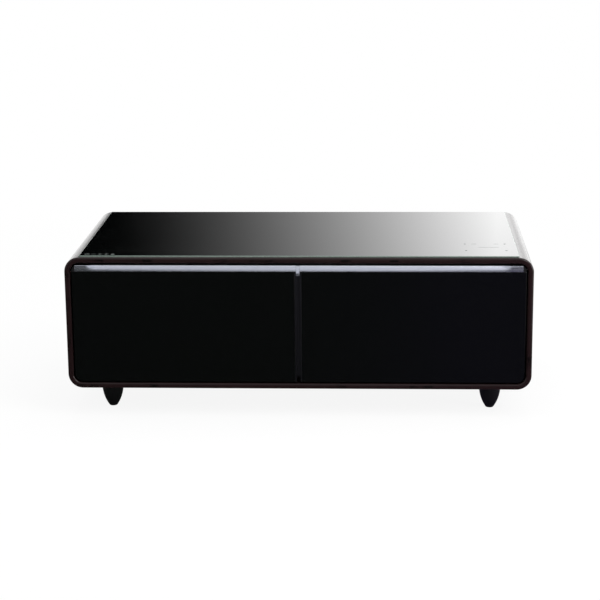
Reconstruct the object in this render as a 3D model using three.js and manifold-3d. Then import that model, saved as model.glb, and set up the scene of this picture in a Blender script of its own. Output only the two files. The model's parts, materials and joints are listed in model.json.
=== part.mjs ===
// A coffee table with two cooled drawers under a black glass top.
// Lengths are in millimetres. X runs to the right of someone facing the drawers, Y runs to the back, Z is up.
// The origin is on the floor under the middle of the table.
import * as THREE from "three";
import { mergeVertices } from "three/addons/utils/BufferGeometryUtils.js";
import Module from "manifold-3d";

const wasm = await Module();
wasm.setup();

// Whole table
const tableWidth = 1300;
const tableDepth = 650;
const tableHeight = 460;

// Clearances, and how far a cutter passes the face that it leaves
const seatGap = 0.3;
const runningGap = 0.6;
const cutOverrun = 5;

// Flats that stand for a curve
const cornerSteps = 5;
const slotEndSteps = 2;
const slopeSteps = 6;
const domeSteps = 4;
const roundSides = 24;
const smallRoundSides = 12;

// Shell of laminated board
const shellWall = 16;
const shellCornerRadius = 41;
const shellEdgeRounding = 6;
const shellEdgeSteps = 3;

// Glass top
const glassThickness = 8;
const glassProud = 3;
const glassSideMargin = 40;
const glassFrontMargin = 13;
const glassCornerRadius = 4;
const glassChamfer = 1.2;

// Feet
const footHeight = 80;
const footTopRadius = 31;
const footTipRadius = 10.5;
const footSideInset = 110;
const footFrontInset = 102;
const footSwellPower = 2.7;
const footSteps = 7;
const footStudRadius = 4;
const footStudLength = 10;

// Electronics under the glass
const touchBoardWidth = 104;
const touchBoardDepth = 54;
const touchBoardThickness = 1.6;
const touchChipSize = 12;
const touchChipHeight = 1.2;
const touchSideInset = 97;
const touchFrontMargin = 1;
const chargerWidth = 112;
const chargerDepth = 86;
const chargerPlate = 2;
const chargerCoilHeight = 2;
const chargerCoilRadius = 36;
const chargerCoilBore = 14;
const chargerSideInset = 127;
const chargerFrontInset = 128;
const boardCornerRadius = 6;

// Cabinet inside the shell
const frontFrameSetback = 60;
const frontFrameSheet = 1.5;
const rearPanelSetback = 12;
const rearPanelThickness = 3;
const machineRoomDepth = 134;
const bulkheadSheet = 1;
const mullionWidth = 52;
const sideInsulation = 40;
const floorInsulation = 42;
const roofInsulation = 49;
const backInsulation = 40;
const linerWall = 3;
const linerCornerRadius = 16;

// Drawer fronts
const doorSetback = 3;
const doorThickness = 45;
const doorGlassThickness = 4;
const doorGap = 4;
const doorPanWall = 3;
const doorTrimWidth = 3.9;
const centreStripWidth = 9.6;
const centreStripSetback = 6;
const centreStripBottomGap = 21;
const centreCapDrop = 12;

// Grip along the top of each front
const gripHeight = 17;
const gripFingerGap = 6.5;
const gripSlopeDepth = 8;
const gripCrestThickness = 4;
const gripGrooveDepth = 10.5;
const gripGrooveSteps = 4;
const gripRearThickness = 3;
const gripWingHeight = 8;

// Gaskets
const gasketWidth = 12;
const gasketLap = 2;

// Bins
const binWall = 3;
const binCornerRadius = 14;
const binFloorGap = 8;
const binHeadroom = 26;
const binRearGap = 10;
const dividerThickness = 3;
const dividerDrop = 30;
const dividerCornerRadius = 12;

// Drawer slides
const railHeight = 45;
const railThickness = 12.7;
const railSheet = 1.2;
const railFrontGap = 8;
const railLift = 24;

// Evaporators and their covers and fans
const coverDepth = 26;
const coverSheet = 2;
const coverSideGap = 34;
const coverFloorGap = 22;
const coverRoofGap = 22;
const coverCornerRadius = 10;
const coverSlotCount = 8;
const coverSlotWidth = 30;
const coverSlotHeight = 6;
const coverSlotPitch = 44;
const coverSlotDrop = 18;
const smallFanInset = 62;
const smallFanRadius = 38;
const smallFanDepth = 10;
const smallHubRadius = 13;
const evaporatorFanGap = 18;
const evaporatorMargin = 14;
const evaporatorFinPitch = 16;

// Parts that all fans share
const fanTipGap = 2;
const fanBladeCount = 7;
const fanBladeSheet = 1.2;
const fanBladeAngle = 32;
const fanSpokeWidth = 5;
const fanSpokeCount = 3;
const fanPinRadius = 2.5;
const fanPinGap = 0.2;
const fanPinLength = 5;

// Compressor
const compressorRadius = 55;
const compressorHeight = 160;
const compressorDomeHeight = 24;
const compressorWall = 3;
const compressorFlange = 9;
const compressorFlangeSheet = 3;
const compressorSideInset = 252;
const compressorTerminalWidth = 34;
const compressorTerminalHeight = 46;
const compressorTerminalDepth = 16;
const compressorTerminalLift = 60;
const basePlateSheet = 2;
const basePlateMargin = 8;
const grommetRadius = 6;
const grommetHeight = 7;

// Condenser and its fan
const condenserThickness = 36;
const condenserDepth = 112;
const condenserHeight = 160;
const condenserOffset = 90;
const condenserFinPitch = 12;
const finSheet = 1.5;
const finCoreShare = 0.35;
const fanFrameSize = 116;
const fanFrameThickness = 25;
const fanFrameCornerRadius = 5;
const fanSpokeDepth = 3;
const largeFanRadius = 52;
const largeFanDepth = 15;
const largeHubRadius = 19;

// Pipe from the compressor to the condenser
const pipeRadius = 4;
const pipeRise = 40;
const pipeBendRadius = 26;
const pipeSides = 8;
const pipeSteps = 32;

// Power supply
const supplyWidth = 190;
const supplyDepth = 84;
const supplyHeight = 46;
const supplySideInset = 330;
const supplySlotCount = 8;
const supplySlotWidth = 5;
const supplySlotPitch = 14;
const supplySlotMargin = 14;
const supplySlotDepth = 6;

// Rear panel
const ventSlotHeight = 7;
const ventSlotPitch = 18;
const ventMargin = 46;
const compressorVentWidth = 150;
const condenserVentWidth = 210;

// Speakers
const speakerSideInset = 90;
const speakerHoleRadius = 40;
const speakerFlange = 7;
const speakerFlangeSheet = 2;
const speakerBasketDepth = 20;
const speakerMagnetRadius = 22;
const speakerMagnetDepth = 12;
const speakerConeDepth = 12;
const speakerSurroundWidth = 6;
const speakerCapRadius = 13;
const speakerCapHeight = 4;

// Mains inlet and its switch
const inletSideInset = 262;
const inletLift = 60;
const inletFlangeWidth = 66;
const inletFlangeHeight = 34;
const inletFlangeSheet = 3;
const inletFlangeRadius = 4;
const inletBodyWidth = 54;
const inletBodyHeight = 26;
const inletBodyDepth = 24;
const inletSocketWidth = 24;
const inletSocketHeight = 17;
const inletSocketDepth = 16;
const inletSocketOffset = 11;
const inletPinWidth = 2;
const inletPinHeight = 4;
const inletPinLength = 9;
const inletPinSpacing = 7;
const inletPinLift = 2;
const switchOffset = 15;
const switchWidth = 13;
const switchHeight = 19;
const switchRadius = 11;
const switchTilt = 7;
const switchFaceDepth = 5;

// Socket for charging leads
const usbSideInset = 262;
const usbLift = 120;
const usbPlateWidth = 62;
const usbPlateHeight = 28;
const usbPlateSheet = 2.5;
const usbPlateRadius = 5;
const usbBodyWidth = 48;
const usbBodyHeight = 20;
const usbBodyDepth = 20;
const usbPortWidth = 13.5;
const usbPortHeight = 6;
const usbPortDepth = 12;
const usbPortSpacing = 24;

// Colours
const colours = {
  laminate: 0x2c1f22,
  blackGlass: 0x050506,
  aluminium: 0xb9bcc6,
  darkTrim: 0x1b1b1d,
  blackPlastic: 0x111112,
  lightPlastic: 0xd9dcdf,
  foam: 0xe7dfc4,
  steel: 0xaeb2b6,
  paintedSteel: 0x232326,
  rubber: 0x2a2a2c,
  circuitBoard: 0x1d5b3a,
  copper: 0xb8704a,
};

// Places worked out from the sizes
const halfWidth = tableWidth / 2;
const frontY = -tableDepth / 2;
const backY = tableDepth / 2;
const shellBottom = footHeight;
const shellTop = tableHeight - glassProud;
const roomHalfWidth = halfWidth - shellWall;
const roomFloor = shellBottom + shellWall;
const roomRoof = shellTop - shellWall;
const glassBottom = tableHeight - glassThickness;
const recessFloor = glassBottom - seatGap;
const frameFront = frontY + frontFrameSetback;
const frameBack = frameFront + frontFrameSheet;
const panelBack = backY - rearPanelSetback;
const panelFront = panelBack - rearPanelThickness;
const bulkheadBack = panelFront - machineRoomDepth;
const bulkheadFront = bulkheadBack - bulkheadSheet;
const cavityBack = bulkheadFront - backInsulation;
const cavityInner = mullionWidth / 2;
const cavityOuter = roomHalfWidth - sideInsulation;
const cavityCentre = (cavityInner + cavityOuter) / 2;
const cavityFloor = roomFloor + floorInsulation;
const cavityRoof = roomRoof - roofInsulation;
const glassFace = frontY + doorSetback;
const glassRear = glassFace + doorGlassThickness;
const doorBack = glassFace + doorThickness;
const doorFloor = roomFloor + doorGap;
const doorRoof = roomRoof - gripFingerGap - gripHeight;
const doorInner = centreStripWidth / 2 + runningGap;
const doorOuter = roomHalfWidth - doorGap;
const crestRoof = doorRoof + gripHeight;
const crestBack = glassFace + gripSlopeDepth + gripCrestThickness;
const binFloor = cavityFloor + binFloorGap;
const binRoof = cavityRoof - binHeadroom;
const binHalfWidth = (cavityOuter - cavityInner) / 2 - railThickness - 2 * seatGap;
const binFront = doorBack + seatGap;
const coverFront = cavityBack - coverDepth;
const binBack = coverFront - binRearGap;
const machineFloor = roomFloor + seatGap;
const machineCentreY = (bulkheadBack + panelFront) / 2;
const compressorFoot = machineFloor + basePlateSheet + grommetHeight + seatGap;
const compressorX = -roomHalfWidth + compressorSideInset;
const condenserX = condenserOffset;
const fanFrameX = condenserX - condenserThickness / 2 - seatGap - fanFrameThickness;
const speakerX = roomHalfWidth - speakerSideInset;
const machineMiddleZ = (roomFloor + roomRoof) / 2;

// Directions in which a flat outline is drawn and carried
const right = new THREE.Vector3(1, 0, 0);
const back = new THREE.Vector3(0, 1, 0);
const up = new THREE.Vector3(0, 0, 1);
const towardsFront = new THREE.Vector3(0, -1, 0);
const seenFrom = {
  front: new THREE.Matrix4().makeBasis(right, up, towardsFront),
  side: new THREE.Matrix4().makeBasis(back, up, right),
  top: new THREE.Matrix4(),
};

// A closed geometry as a solid that can be joined and cut.
function solid(geometry) {
  geometry.deleteAttribute("normal");
  geometry.deleteAttribute("uv");
  const merged = mergeVertices(geometry);
  return new wasm.Manifold(
    new wasm.Mesh({
      numProp: 3,
      vertProperties: merged.attributes.position.array,
      triVerts: new Uint32Array(merged.index.array),
    }),
  );
}

// A solid as a geometry that a mesh can show.
function geometryOf(body) {
  const { vertProperties, triVerts } = body.getMesh();
  const geometry = new THREE.BufferGeometry();
  geometry.setAttribute("position", new THREE.BufferAttribute(vertProperties, 3));
  geometry.setIndex(new THREE.BufferAttribute(triVerts, 1));
  geometry.computeVertexNormals();
  return geometry;
}

// Points of an arc about a centre, between two angles in degrees. A radius of nothing gives one point.
function arc(x, y, radius, from, to, steps) {
  if (radius <= 0) {
    return [new THREE.Vector2(x, y)];
  }
  return Array.from({ length: steps + 1 }, (_, i) => {
    const angle = THREE.MathUtils.degToRad(from + ((to - from) * i) / steps);
    return new THREE.Vector2(x + radius * Math.cos(angle), y + radius * Math.sin(angle));
  });
}

// Points of a rectangle with round corners, anticlockwise from its lowest left one.
function roundedPoints(x0, x1, y0, y1, radius, steps = cornerSteps) {
  const r = Math.min(radius, (x1 - x0) / 2, (y1 - y0) / 2);
  return [
    ...arc(x0 + r, y0 + r, r, 180, 270, steps),
    ...arc(x1 - r, y0 + r, r, 270, 360, steps),
    ...arc(x1 - r, y1 - r, r, 0, 90, steps),
    ...arc(x0 + r, y1 - r, r, 90, 180, steps),
  ];
}

// Points of a circle, anticlockwise.
function circlePoints(x, y, radius, sides) {
  return arc(x, y, radius, 0, 360, sides).slice(0, sides);
}

// An outline, with holes if any are given.
function outline(points, holes = []) {
  const shape = new THREE.Shape(points);
  shape.holes.push(...holes.map((hole) => new THREE.Path(hole)));
  return shape;
}

// Points of the shell's outline, drawn in by an inset on every side, with concentric corners.
function shellPoints(inset) {
  const x = halfWidth - inset;
  return roundedPoints(-x, x, shellBottom + inset, shellTop - inset, shellCornerRadius - inset);
}

// An outline carried from one place to another, square to the way it is seen, with round edges if asked.
function prism(shape, view, from, to, rounding = 0, roundingSteps = 1) {
  const geometry = new THREE.ExtrudeGeometry(shape, {
    depth: to - from - 2 * rounding,
    bevelEnabled: rounding > 0,
    bevelThickness: rounding,
    bevelSize: rounding,
    bevelOffset: -rounding,
    bevelSegments: roundingSteps,
  });
  geometry.translate(0, 0, rounding);
  geometry.applyMatrix4(seenFrom[view]);
  const carried = { front: [0, to, 0], side: [from, 0, 0], top: [0, 0, from] };
  geometry.translate(...carried[view]);
  return solid(geometry);
}

// A block between its lowest and its highest corner.
function block([x0, y0, z0], [x1, y1, z1]) {
  const geometry = new THREE.BoxGeometry(x1 - x0, y1 - y0, z1 - z0);
  geometry.translate((x0 + x1) / 2, (y0 + y1) / 2, (z0 + z1) / 2);
  return solid(geometry);
}

// A round rod seen from one side, at a point of that view.
function rod(u, v, radius, view, from, to, sides = smallRoundSides) {
  return prism(outline(circlePoints(u, v, radius, sides)), view, from, to);
}

// A profile of radius and height, anticlockwise, turned about the Z axis.
function turned(profile, sides = roundSides) {
  const points = profile.map(([radius, height]) => new THREE.Vector2(radius, height));
  const geometry = new THREE.LatheGeometry(points, sides);
  geometry.applyMatrix4(seenFrom.front);
  return solid(geometry);
}

// Everything in a list cut away from a body, or joined to it.
const cutBy = (body, cutters) => cutters.reduce((rest, cutter) => rest.subtract(cutter), body);
const joinedTo = (body, others) => others.reduce((whole, other) => whole.add(other), body);

// Places of a row of copies, spread evenly about the middle.
const row = (count, pitch) => Array.from({ length: count }, (_, i) => (i - (count - 1) / 2) * pitch);

// How many copies of a pitch fit a length.
const fitting = (length, pitch) => Math.max(1, Math.floor(length / pitch));

function finish(colour, roughness, metalness) {
  return new THREE.MeshStandardMaterial({ color: colour, roughness, metalness });
}

const finishes = {
  laminate: finish(colours.laminate, 0.4, 0),
  blackGlass: finish(colours.blackGlass, 0.1, 0),
  aluminium: finish(colours.aluminium, 0.4, 1),
  darkTrim: finish(colours.darkTrim, 0.4, 0.5),
  blackPlastic: finish(colours.blackPlastic, 0.4, 0),
  lightPlastic: finish(colours.lightPlastic, 0.4, 0),
  foam: finish(colours.foam, 0.75, 0),
  steel: finish(colours.steel, 0.2, 1),
  paintedSteel: finish(colours.paintedSteel, 0.4, 0),
  rubber: finish(colours.rubber, 0.75, 0),
  circuitBoard: finish(colours.circuitBoard, 0.4, 0),
  copper: finish(colours.copper, 0.4, 1),
};

const table = new THREE.Group();

// One named piece, put into a group.
function add(name, body, material, group = table) {
  const mesh = new THREE.Mesh(body.isBufferGeometry ? body : geometryOf(body), material);
  mesh.name = name;
  group.add(mesh);
  return mesh;
}

// Shell: a tube of board with a recess for the glass, pockets for the boards and holes for the feet's studs
function pocket(width, depth, height, x, y) {
  return block(
    [x - width / 2 - seatGap, y - depth / 2 - seatGap, recessFloor - height - seatGap],
    [x + width / 2 + seatGap, y + depth / 2 + seatGap, recessFloor + cutOverrun],
  );
}

const touchX = -halfWidth + touchSideInset;
const touchY = frontY + glassFrontMargin + touchFrontMargin + touchBoardDepth / 2;
const touchHeight = touchBoardThickness + touchChipHeight;
const chargerX = halfWidth - chargerSideInset;
const chargerY = frontY + chargerFrontInset;
const chargerHeight = chargerPlate + chargerCoilHeight;
const footPlaces = [
  ["foot_front_left", -halfWidth + footSideInset, frontY + footFrontInset],
  ["foot_front_right", halfWidth - footSideInset, frontY + footFrontInset],
  ["foot_rear_left", -halfWidth + footSideInset, backY - footFrontInset],
  ["foot_rear_right", halfWidth - footSideInset, backY - footFrontInset],
];

function shell() {
  const tube = prism(
    outline(shellPoints(0), [shellPoints(shellWall)]),
    "front",
    frontY,
    backY,
    shellEdgeRounding,
    shellEdgeSteps,
  );
  const recess = block(
    [-halfWidth + glassSideMargin - seatGap, frontY + glassFrontMargin - seatGap, recessFloor],
    [halfWidth - glassSideMargin + seatGap, backY - glassFrontMargin + seatGap, shellTop + cutOverrun],
  );
  const studHoles = footPlaces.map(([, x, y]) =>
    rod(x, y, footStudRadius + seatGap, "top", shellBottom - cutOverrun, shellBottom + footStudLength),
  );
  return cutBy(tube, [
    recess,
    pocket(touchBoardWidth, touchBoardDepth, touchHeight, touchX, touchY),
    pocket(chargerWidth, chargerDepth, chargerHeight, chargerX, chargerY),
    ...studHoles,
  ]);
}

add("shell", shell(), finishes.laminate);

// Glass top
add(
  "glass_top",
  prism(
    outline(
      roundedPoints(
        -halfWidth + glassSideMargin,
        halfWidth - glassSideMargin,
        frontY + glassFrontMargin,
        backY - glassFrontMargin,
        glassCornerRadius,
        slotEndSteps,
      ),
    ),
    "top",
    glassBottom,
    tableHeight,
    glassChamfer,
  ),
  finishes.blackGlass,
);

// Boards under the glass, each in its pocket
const touchFloor = recessFloor - touchHeight;
const touchBoard = joinedTo(
  prism(
    outline(
      roundedPoints(
        -touchBoardWidth / 2,
        touchBoardWidth / 2,
        -touchBoardDepth / 2,
        touchBoardDepth / 2,
        boardCornerRadius,
        slotEndSteps,
      ),
    ),
    "top",
    touchChipHeight,
    touchHeight,
  ),
  [
    block(
      [-touchChipSize / 2, -touchChipSize / 2, 0],
      [touchChipSize / 2, touchChipSize / 2, touchHeight],
    ),
  ],
);
add("touch_board", touchBoard, finishes.circuitBoard).position.set(touchX, touchY, touchFloor);

const charger = prism(
  outline(
    roundedPoints(
      -chargerWidth / 2,
      chargerWidth / 2,
      -chargerDepth / 2,
      chargerDepth / 2,
      boardCornerRadius,
      slotEndSteps,
    ),
  ),
  "top",
  0,
  chargerPlate,
).add(
  prism(
    outline(circlePoints(0, 0, chargerCoilRadius, roundSides), [
      circlePoints(0, 0, chargerCoilBore, roundSides),
    ]),
    "top",
    0,
    chargerHeight,
  ),
);
const chargerFloor = recessFloor - chargerHeight;
add("wireless_charger", charger, finishes.copper).position.set(chargerX, chargerY, chargerFloor);

// Feet: bullets that swell quickly from the tip, each with its stud
function foot() {
  const footRoof = footHeight - seatGap;
  const side = Array.from({ length: footSteps + 1 }, (_, i) => {
    const heightShare = i / footSteps;
    const swellShare = 1 - (1 - heightShare) ** footSwellPower;
    return [footTipRadius + (footTopRadius - footTipRadius) * swellShare, footRoof * heightShare];
  });
  return turned([
    [0, 0],
    ...side,
    [footStudRadius, footRoof],
    [footStudRadius, footHeight + footStudLength - seatGap],
    [0, footHeight + footStudLength - seatGap],
  ]);
}

const footGeometry = geometryOf(foot());
for (const [name, x, y] of footPlaces) {
  add(name, footGeometry, finishes.blackPlastic).position.set(x, y, 0);
}

// Cabinet: steel frame that the gaskets close on, foam, and the wall in front of the machine room
const linerOuterX = cavityOuter + linerWall;
const linerInnerX = cavityInner - linerWall;
const cabinetInset = shellWall + seatGap;

// Points of a liner's outline, let out by a distance; the left one is the mirror of the right.
function linerPoints(side, letOut) {
  const xs = [side * (linerInnerX - letOut), side * (linerOuterX + letOut)].sort((a, b) => a - b);
  return roundedPoints(
    ...xs,
    cavityFloor - linerWall - letOut,
    cavityRoof + linerWall + letOut,
    linerCornerRadius + linerWall + letOut,
  );
}

add(
  "front_frame",
  prism(
    outline(shellPoints(cabinetInset), [linerPoints(-1, seatGap), linerPoints(1, seatGap)]),
    "front",
    frameFront,
    frameBack,
  ),
  finishes.steel,
);

const linerBack = cavityBack + linerWall;
const linerSpaces = [-1, 1].map((side) =>
  prism(outline(linerPoints(side, seatGap)), "front", frameFront - cutOverrun, linerBack + seatGap),
);
add(
  "insulation",
  cutBy(
    prism(outline(shellPoints(cabinetInset)), "front", frameBack + seatGap, bulkheadFront - seatGap),
    linerSpaces,
  ),
  finishes.foam,
);
add(
  "bulkhead",
  prism(outline(shellPoints(cabinetInset)), "front", bulkheadFront, bulkheadBack),
  finishes.steel,
);

// Strip between the drawers, and the cap that carries the grips' slope across it
function gripSlopePoints(footY, footZ) {
  return Array.from({ length: slopeSteps + 1 }, (_, i) => {
    const angle = ((Math.PI / 2) * i) / slopeSteps;
    return new THREE.Vector2(
      footY + gripSlopeDepth * (1 - Math.cos(angle)),
      footZ + (crestRoof - footZ) * Math.sin(angle),
    );
  });
}

const stripRoof = doorRoof - centreCapDrop;
add(
  "centre_strip",
  block(
    [-centreStripWidth / 2, frontY + centreStripSetback, roomFloor + centreStripBottomGap],
    [centreStripWidth / 2, frameFront - seatGap, stripRoof],
  ),
  finishes.darkTrim,
);
add(
  "centre_cap",
  prism(
    outline([
      new THREE.Vector2(crestBack, crestRoof),
      new THREE.Vector2(crestBack, stripRoof + seatGap),
      new THREE.Vector2(glassFace, stripRoof + seatGap),
      ...gripSlopePoints(glassFace, doorRoof + seatGap),
    ].reverse()),
    "side",
    -centreStripWidth / 2,
    centreStripWidth / 2,
  ),
  finishes.aluminium,
);

// Fans: a rotor about the Z axis, and the spider that carries it
function fanRotor(radius, depth, hubRadius) {
  const bore = fanPinRadius + fanPinGap;
  const boreDepth = fanPinLength + runningGap;
  const hub = turned(
    [
      [0, boreDepth],
      [bore, boreDepth],
      [bore, 0],
      [hubRadius, 0],
      [hubRadius, depth],
      [0, depth],
    ],
    smallRoundSides,
  );
  const tilt = THREE.MathUtils.degToRad(fanBladeAngle);
  const chord = (depth - fanBladeSheet * Math.cos(tilt)) / Math.sin(tilt);
  const reach = Math.sqrt(radius ** 2 - (chord / 2) ** 2);
  const rootRadius = (hubRadius + bore) / 2;
  const blades = Array.from({ length: fanBladeCount }, (_, i) => {
    const blade = new THREE.BoxGeometry(reach - rootRadius, chord, fanBladeSheet);
    blade.rotateX(tilt);
    blade.translate((reach + rootRadius) / 2, 0, depth / 2);
    blade.rotateZ((2 * Math.PI * i) / fanBladeCount);
    return solid(blade);
  });
  return joinedTo(hub, blades);
}

// The spokes, boss and pin of a fan, seen from one side; the pin points to the higher coordinate.
function fanSpider(u, v, holeRadius, hubRadius, view, from, to, rotorFrom) {
  const spokes = Array.from({ length: fanSpokeCount }, (_, i) => {
    const angle = (360 * i) / fanSpokeCount + 90;
    const spoke = spokePoints(u, v, hubRadius / 2, holeRadius + fanTipGap, angle);
    return prism(outline(spoke), view, from, to);
  });
  return [
    ...spokes,
    rod(u, v, hubRadius, view, from, rotorFrom - runningGap),
    rod(u, v, fanPinRadius, view, from, rotorFrom + fanPinLength),
  ];
}

// Corners of a spoke that runs outward from a centre at an angle.
function spokePoints(u, v, fromRadius, toRadius, angle) {
  const turn = THREE.MathUtils.degToRad(angle);
  const corners = [
    [fromRadius, -fanSpokeWidth / 2],
    [toRadius, -fanSpokeWidth / 2],
    [toRadius, fanSpokeWidth / 2],
    [fromRadius, fanSpokeWidth / 2],
  ];
  return corners.map(([along, across]) =>
    new THREE.Vector2(along, across).rotateAround(new THREE.Vector2(0, 0), turn).add(new THREE.Vector2(u, v)),
  );
}

// A block of upright fins on a core plate, from one corner to the other; the fins repeat along X or Y.
function finBlock([x0, y0, z0], [x1, y1, z1], pitch, along) {
  const low = along === "x" ? [x0, x1] : [y0, y1];
  const deep = along === "x" ? [y0, y1] : [x0, x1];
  const core = deep[0] + (deep[1] - deep[0]) * finCoreShare;
  const count = fitting(low[1] - low[0] - finSheet, pitch);
  const middle = (low[0] + low[1]) / 2;
  const grooves = row(count, pitch).map((place) => {
    const from = middle + place - (pitch - finSheet) / 2;
    const to = middle + place + (pitch - finSheet) / 2;
    return along === "x"
      ? block([from, core, z0 - cutOverrun], [to, deep[1] + cutOverrun, z1 + cutOverrun])
      : block([core, from, z0 - cutOverrun], [deep[1] + cutOverrun, to, z1 + cutOverrun]);
  });
  return cutBy(block([x0, y0, z0], [x1, y1, z1]), grooves);
}

// Everything that both sides have, built for the right side about the middle of the table

// A body held inside the corner of the shell, so that its outer corners follow it.
const doorCorner = prism(
  outline(shellPoints(shellWall + doorGap)),
  "front",
  glassFace - cutOverrun,
  frameFront + cutOverrun,
);

function doorPan() {
  const outside = block([doorInner, glassRear + seatGap, doorFloor], [doorOuter, doorBack, doorRoof]);
  const trim = block([doorInner, glassFace, doorFloor], [doorInner + doorTrimWidth, doorBack, doorRoof]);
  const inside = block(
    [doorInner + doorTrimWidth, glassFace - cutOverrun, doorFloor + doorPanWall],
    [doorOuter - doorPanWall, doorBack - doorPanWall, doorRoof - doorPanWall],
  ).intersect(
    prism(
      outline(shellPoints(shellWall + doorGap + doorPanWall)),
      "front",
      glassFace - cutOverrun,
      frameFront + cutOverrun,
    ),
  );
  return outside.add(trim).intersect(doorCorner).subtract(inside);
}

function doorFoam() {
  const inset = doorPanWall + seatGap;
  return block(
    [doorInner + doorTrimWidth + seatGap, glassRear + seatGap, doorFloor + inset],
    [doorOuter - inset, doorBack - inset, doorRoof - inset],
  ).intersect(
    prism(
      outline(shellPoints(shellWall + doorGap + inset)),
      "front",
      glassFace - cutOverrun,
      frameFront + cutOverrun,
    ),
  );
}

function doorGlass() {
  return block(
    [doorInner + doorTrimWidth + seatGap, glassFace, doorFloor],
    [doorOuter, glassRear, doorRoof],
  ).intersect(doorCorner);
}

// The grip's section: a convex slope up to its crest, a finger groove behind it, and a low rear wing.
function grip() {
  const gripFloor = doorRoof + seatGap;
  const wingFront = doorBack - gripRearThickness;
  const grooveFloor = crestRoof - gripGrooveDepth;
  const grooveRadius = Math.min((wingFront - crestBack) / 2, gripGrooveDepth / 2);
  const wingRoof = gripFloor + gripWingHeight;
  const wingDrop = THREE.MathUtils.clamp((grooveFloor + grooveRadius - wingRoof) / grooveRadius, 0, 1);
  const grooveEnd = 360 - THREE.MathUtils.radToDeg(Math.asin(wingDrop));
  const grooveHeight = grooveFloor + grooveRadius;
  const section = [
    ...gripSlopePoints(glassFace, gripFloor),
    new THREE.Vector2(crestBack, crestRoof),
    ...arc(crestBack + grooveRadius, grooveHeight, grooveRadius, 180, 270, gripGrooveSteps),
    ...arc(wingFront - grooveRadius, grooveHeight, grooveRadius, 270, grooveEnd, gripGrooveSteps),
    new THREE.Vector2(wingFront, wingRoof),
    new THREE.Vector2(doorBack, wingRoof),
    new THREE.Vector2(doorBack, gripFloor),
  ];
  return prism(outline(section.reverse()), "side", doorInner, doorOuter).intersect(doorCorner);
}

function gasket() {
  const ringInner = linerPoints(1, gasketLap);
  const ringOuter = linerPoints(1, gasketLap + gasketWidth);
  return prism(outline(ringOuter, [ringInner]), "front", doorBack + seatGap, frameFront - seatGap);
}

function liner() {
  const inside = roundedPoints(cavityInner, cavityOuter, cavityFloor, cavityRoof, linerCornerRadius);
  return prism(outline(linerPoints(1, 0)), "front", frameFront, linerBack).subtract(
    prism(outline(inside), "front", frameFront - cutOverrun, cavityBack),
  );
}

function bin() {
  const floorPlan = (inset) =>
    outline(
      roundedPoints(
        cavityCentre - binHalfWidth + inset,
        cavityCentre + binHalfWidth - inset,
        binFront + inset,
        binBack - inset,
        binCornerRadius - inset,
      ),
    );
  return prism(floorPlan(0), "top", binFloor, binRoof).subtract(
    prism(floorPlan(binWall), "top", binFloor + binWall, binRoof + cutOverrun),
  );
}

function divider() {
  const inset = binWall + seatGap;
  const side = roundedPoints(
    binFront + inset,
    binBack - inset,
    binFloor + inset,
    binRoof - dividerDrop,
    dividerCornerRadius,
  );
  return prism(
    outline(side),
    "side",
    cavityCentre - dividerThickness / 2,
    cavityCentre + dividerThickness / 2,
  );
}

// Slide members, as sections of depth from the cabinet wall and height: a web with two flanges
const railReach = railThickness;
const railMembers = {
  cabinet_rail: [0, railSheet, railReach - railSheet - runningGap, 0],
  middle_rail: [
    railSheet + runningGap,
    2 * railSheet + runningGap,
    railReach - railSheet - runningGap,
    railSheet + runningGap,
  ],
  drawer_rail: [
    railReach - railSheet,
    railReach,
    2 * (railSheet + runningGap),
    2 * (railSheet + runningGap),
  ],
};
const railBottom = binFloor + railLift;
const railFront = frameFront + railFrontGap;

// A member's web lies between two depths, and its flanges reach to a third, drawn in from the rail's height.
function railMember(webFrom, webTo, flangeTo, drawIn) {
  const low = drawIn;
  const high = railHeight - drawIn;
  const corners =
    flangeTo > webTo
      ? [
          [webFrom, low],
          [flangeTo, low],
          [flangeTo, low + railSheet],
          [webTo, low + railSheet],
          [webTo, high - railSheet],
          [flangeTo, high - railSheet],
          [flangeTo, high],
          [webFrom, high],
        ]
      : [
          [flangeTo, low],
          [webTo, low],
          [webTo, high],
          [flangeTo, high],
          [flangeTo, high - railSheet],
          [webFrom, high - railSheet],
          [webFrom, low + railSheet],
          [flangeTo, low + railSheet],
        ];
  const shape = outline(corners.map(([x, z]) => new THREE.Vector2(x, z)));
  return geometryOf(prism(shape, "front", railFront, binBack));
}

// Evaporator cover: a tray that opens to the back, with the fan's hole and spider and a row of outlets
const fanX = cavityInner + coverSideGap + smallFanInset;
const fanZ = (cavityFloor + coverFloorGap + cavityRoof - coverRoofGap) / 2;
const rotorFront = coverFront + coverSheet + 2 * runningGap;

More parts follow.
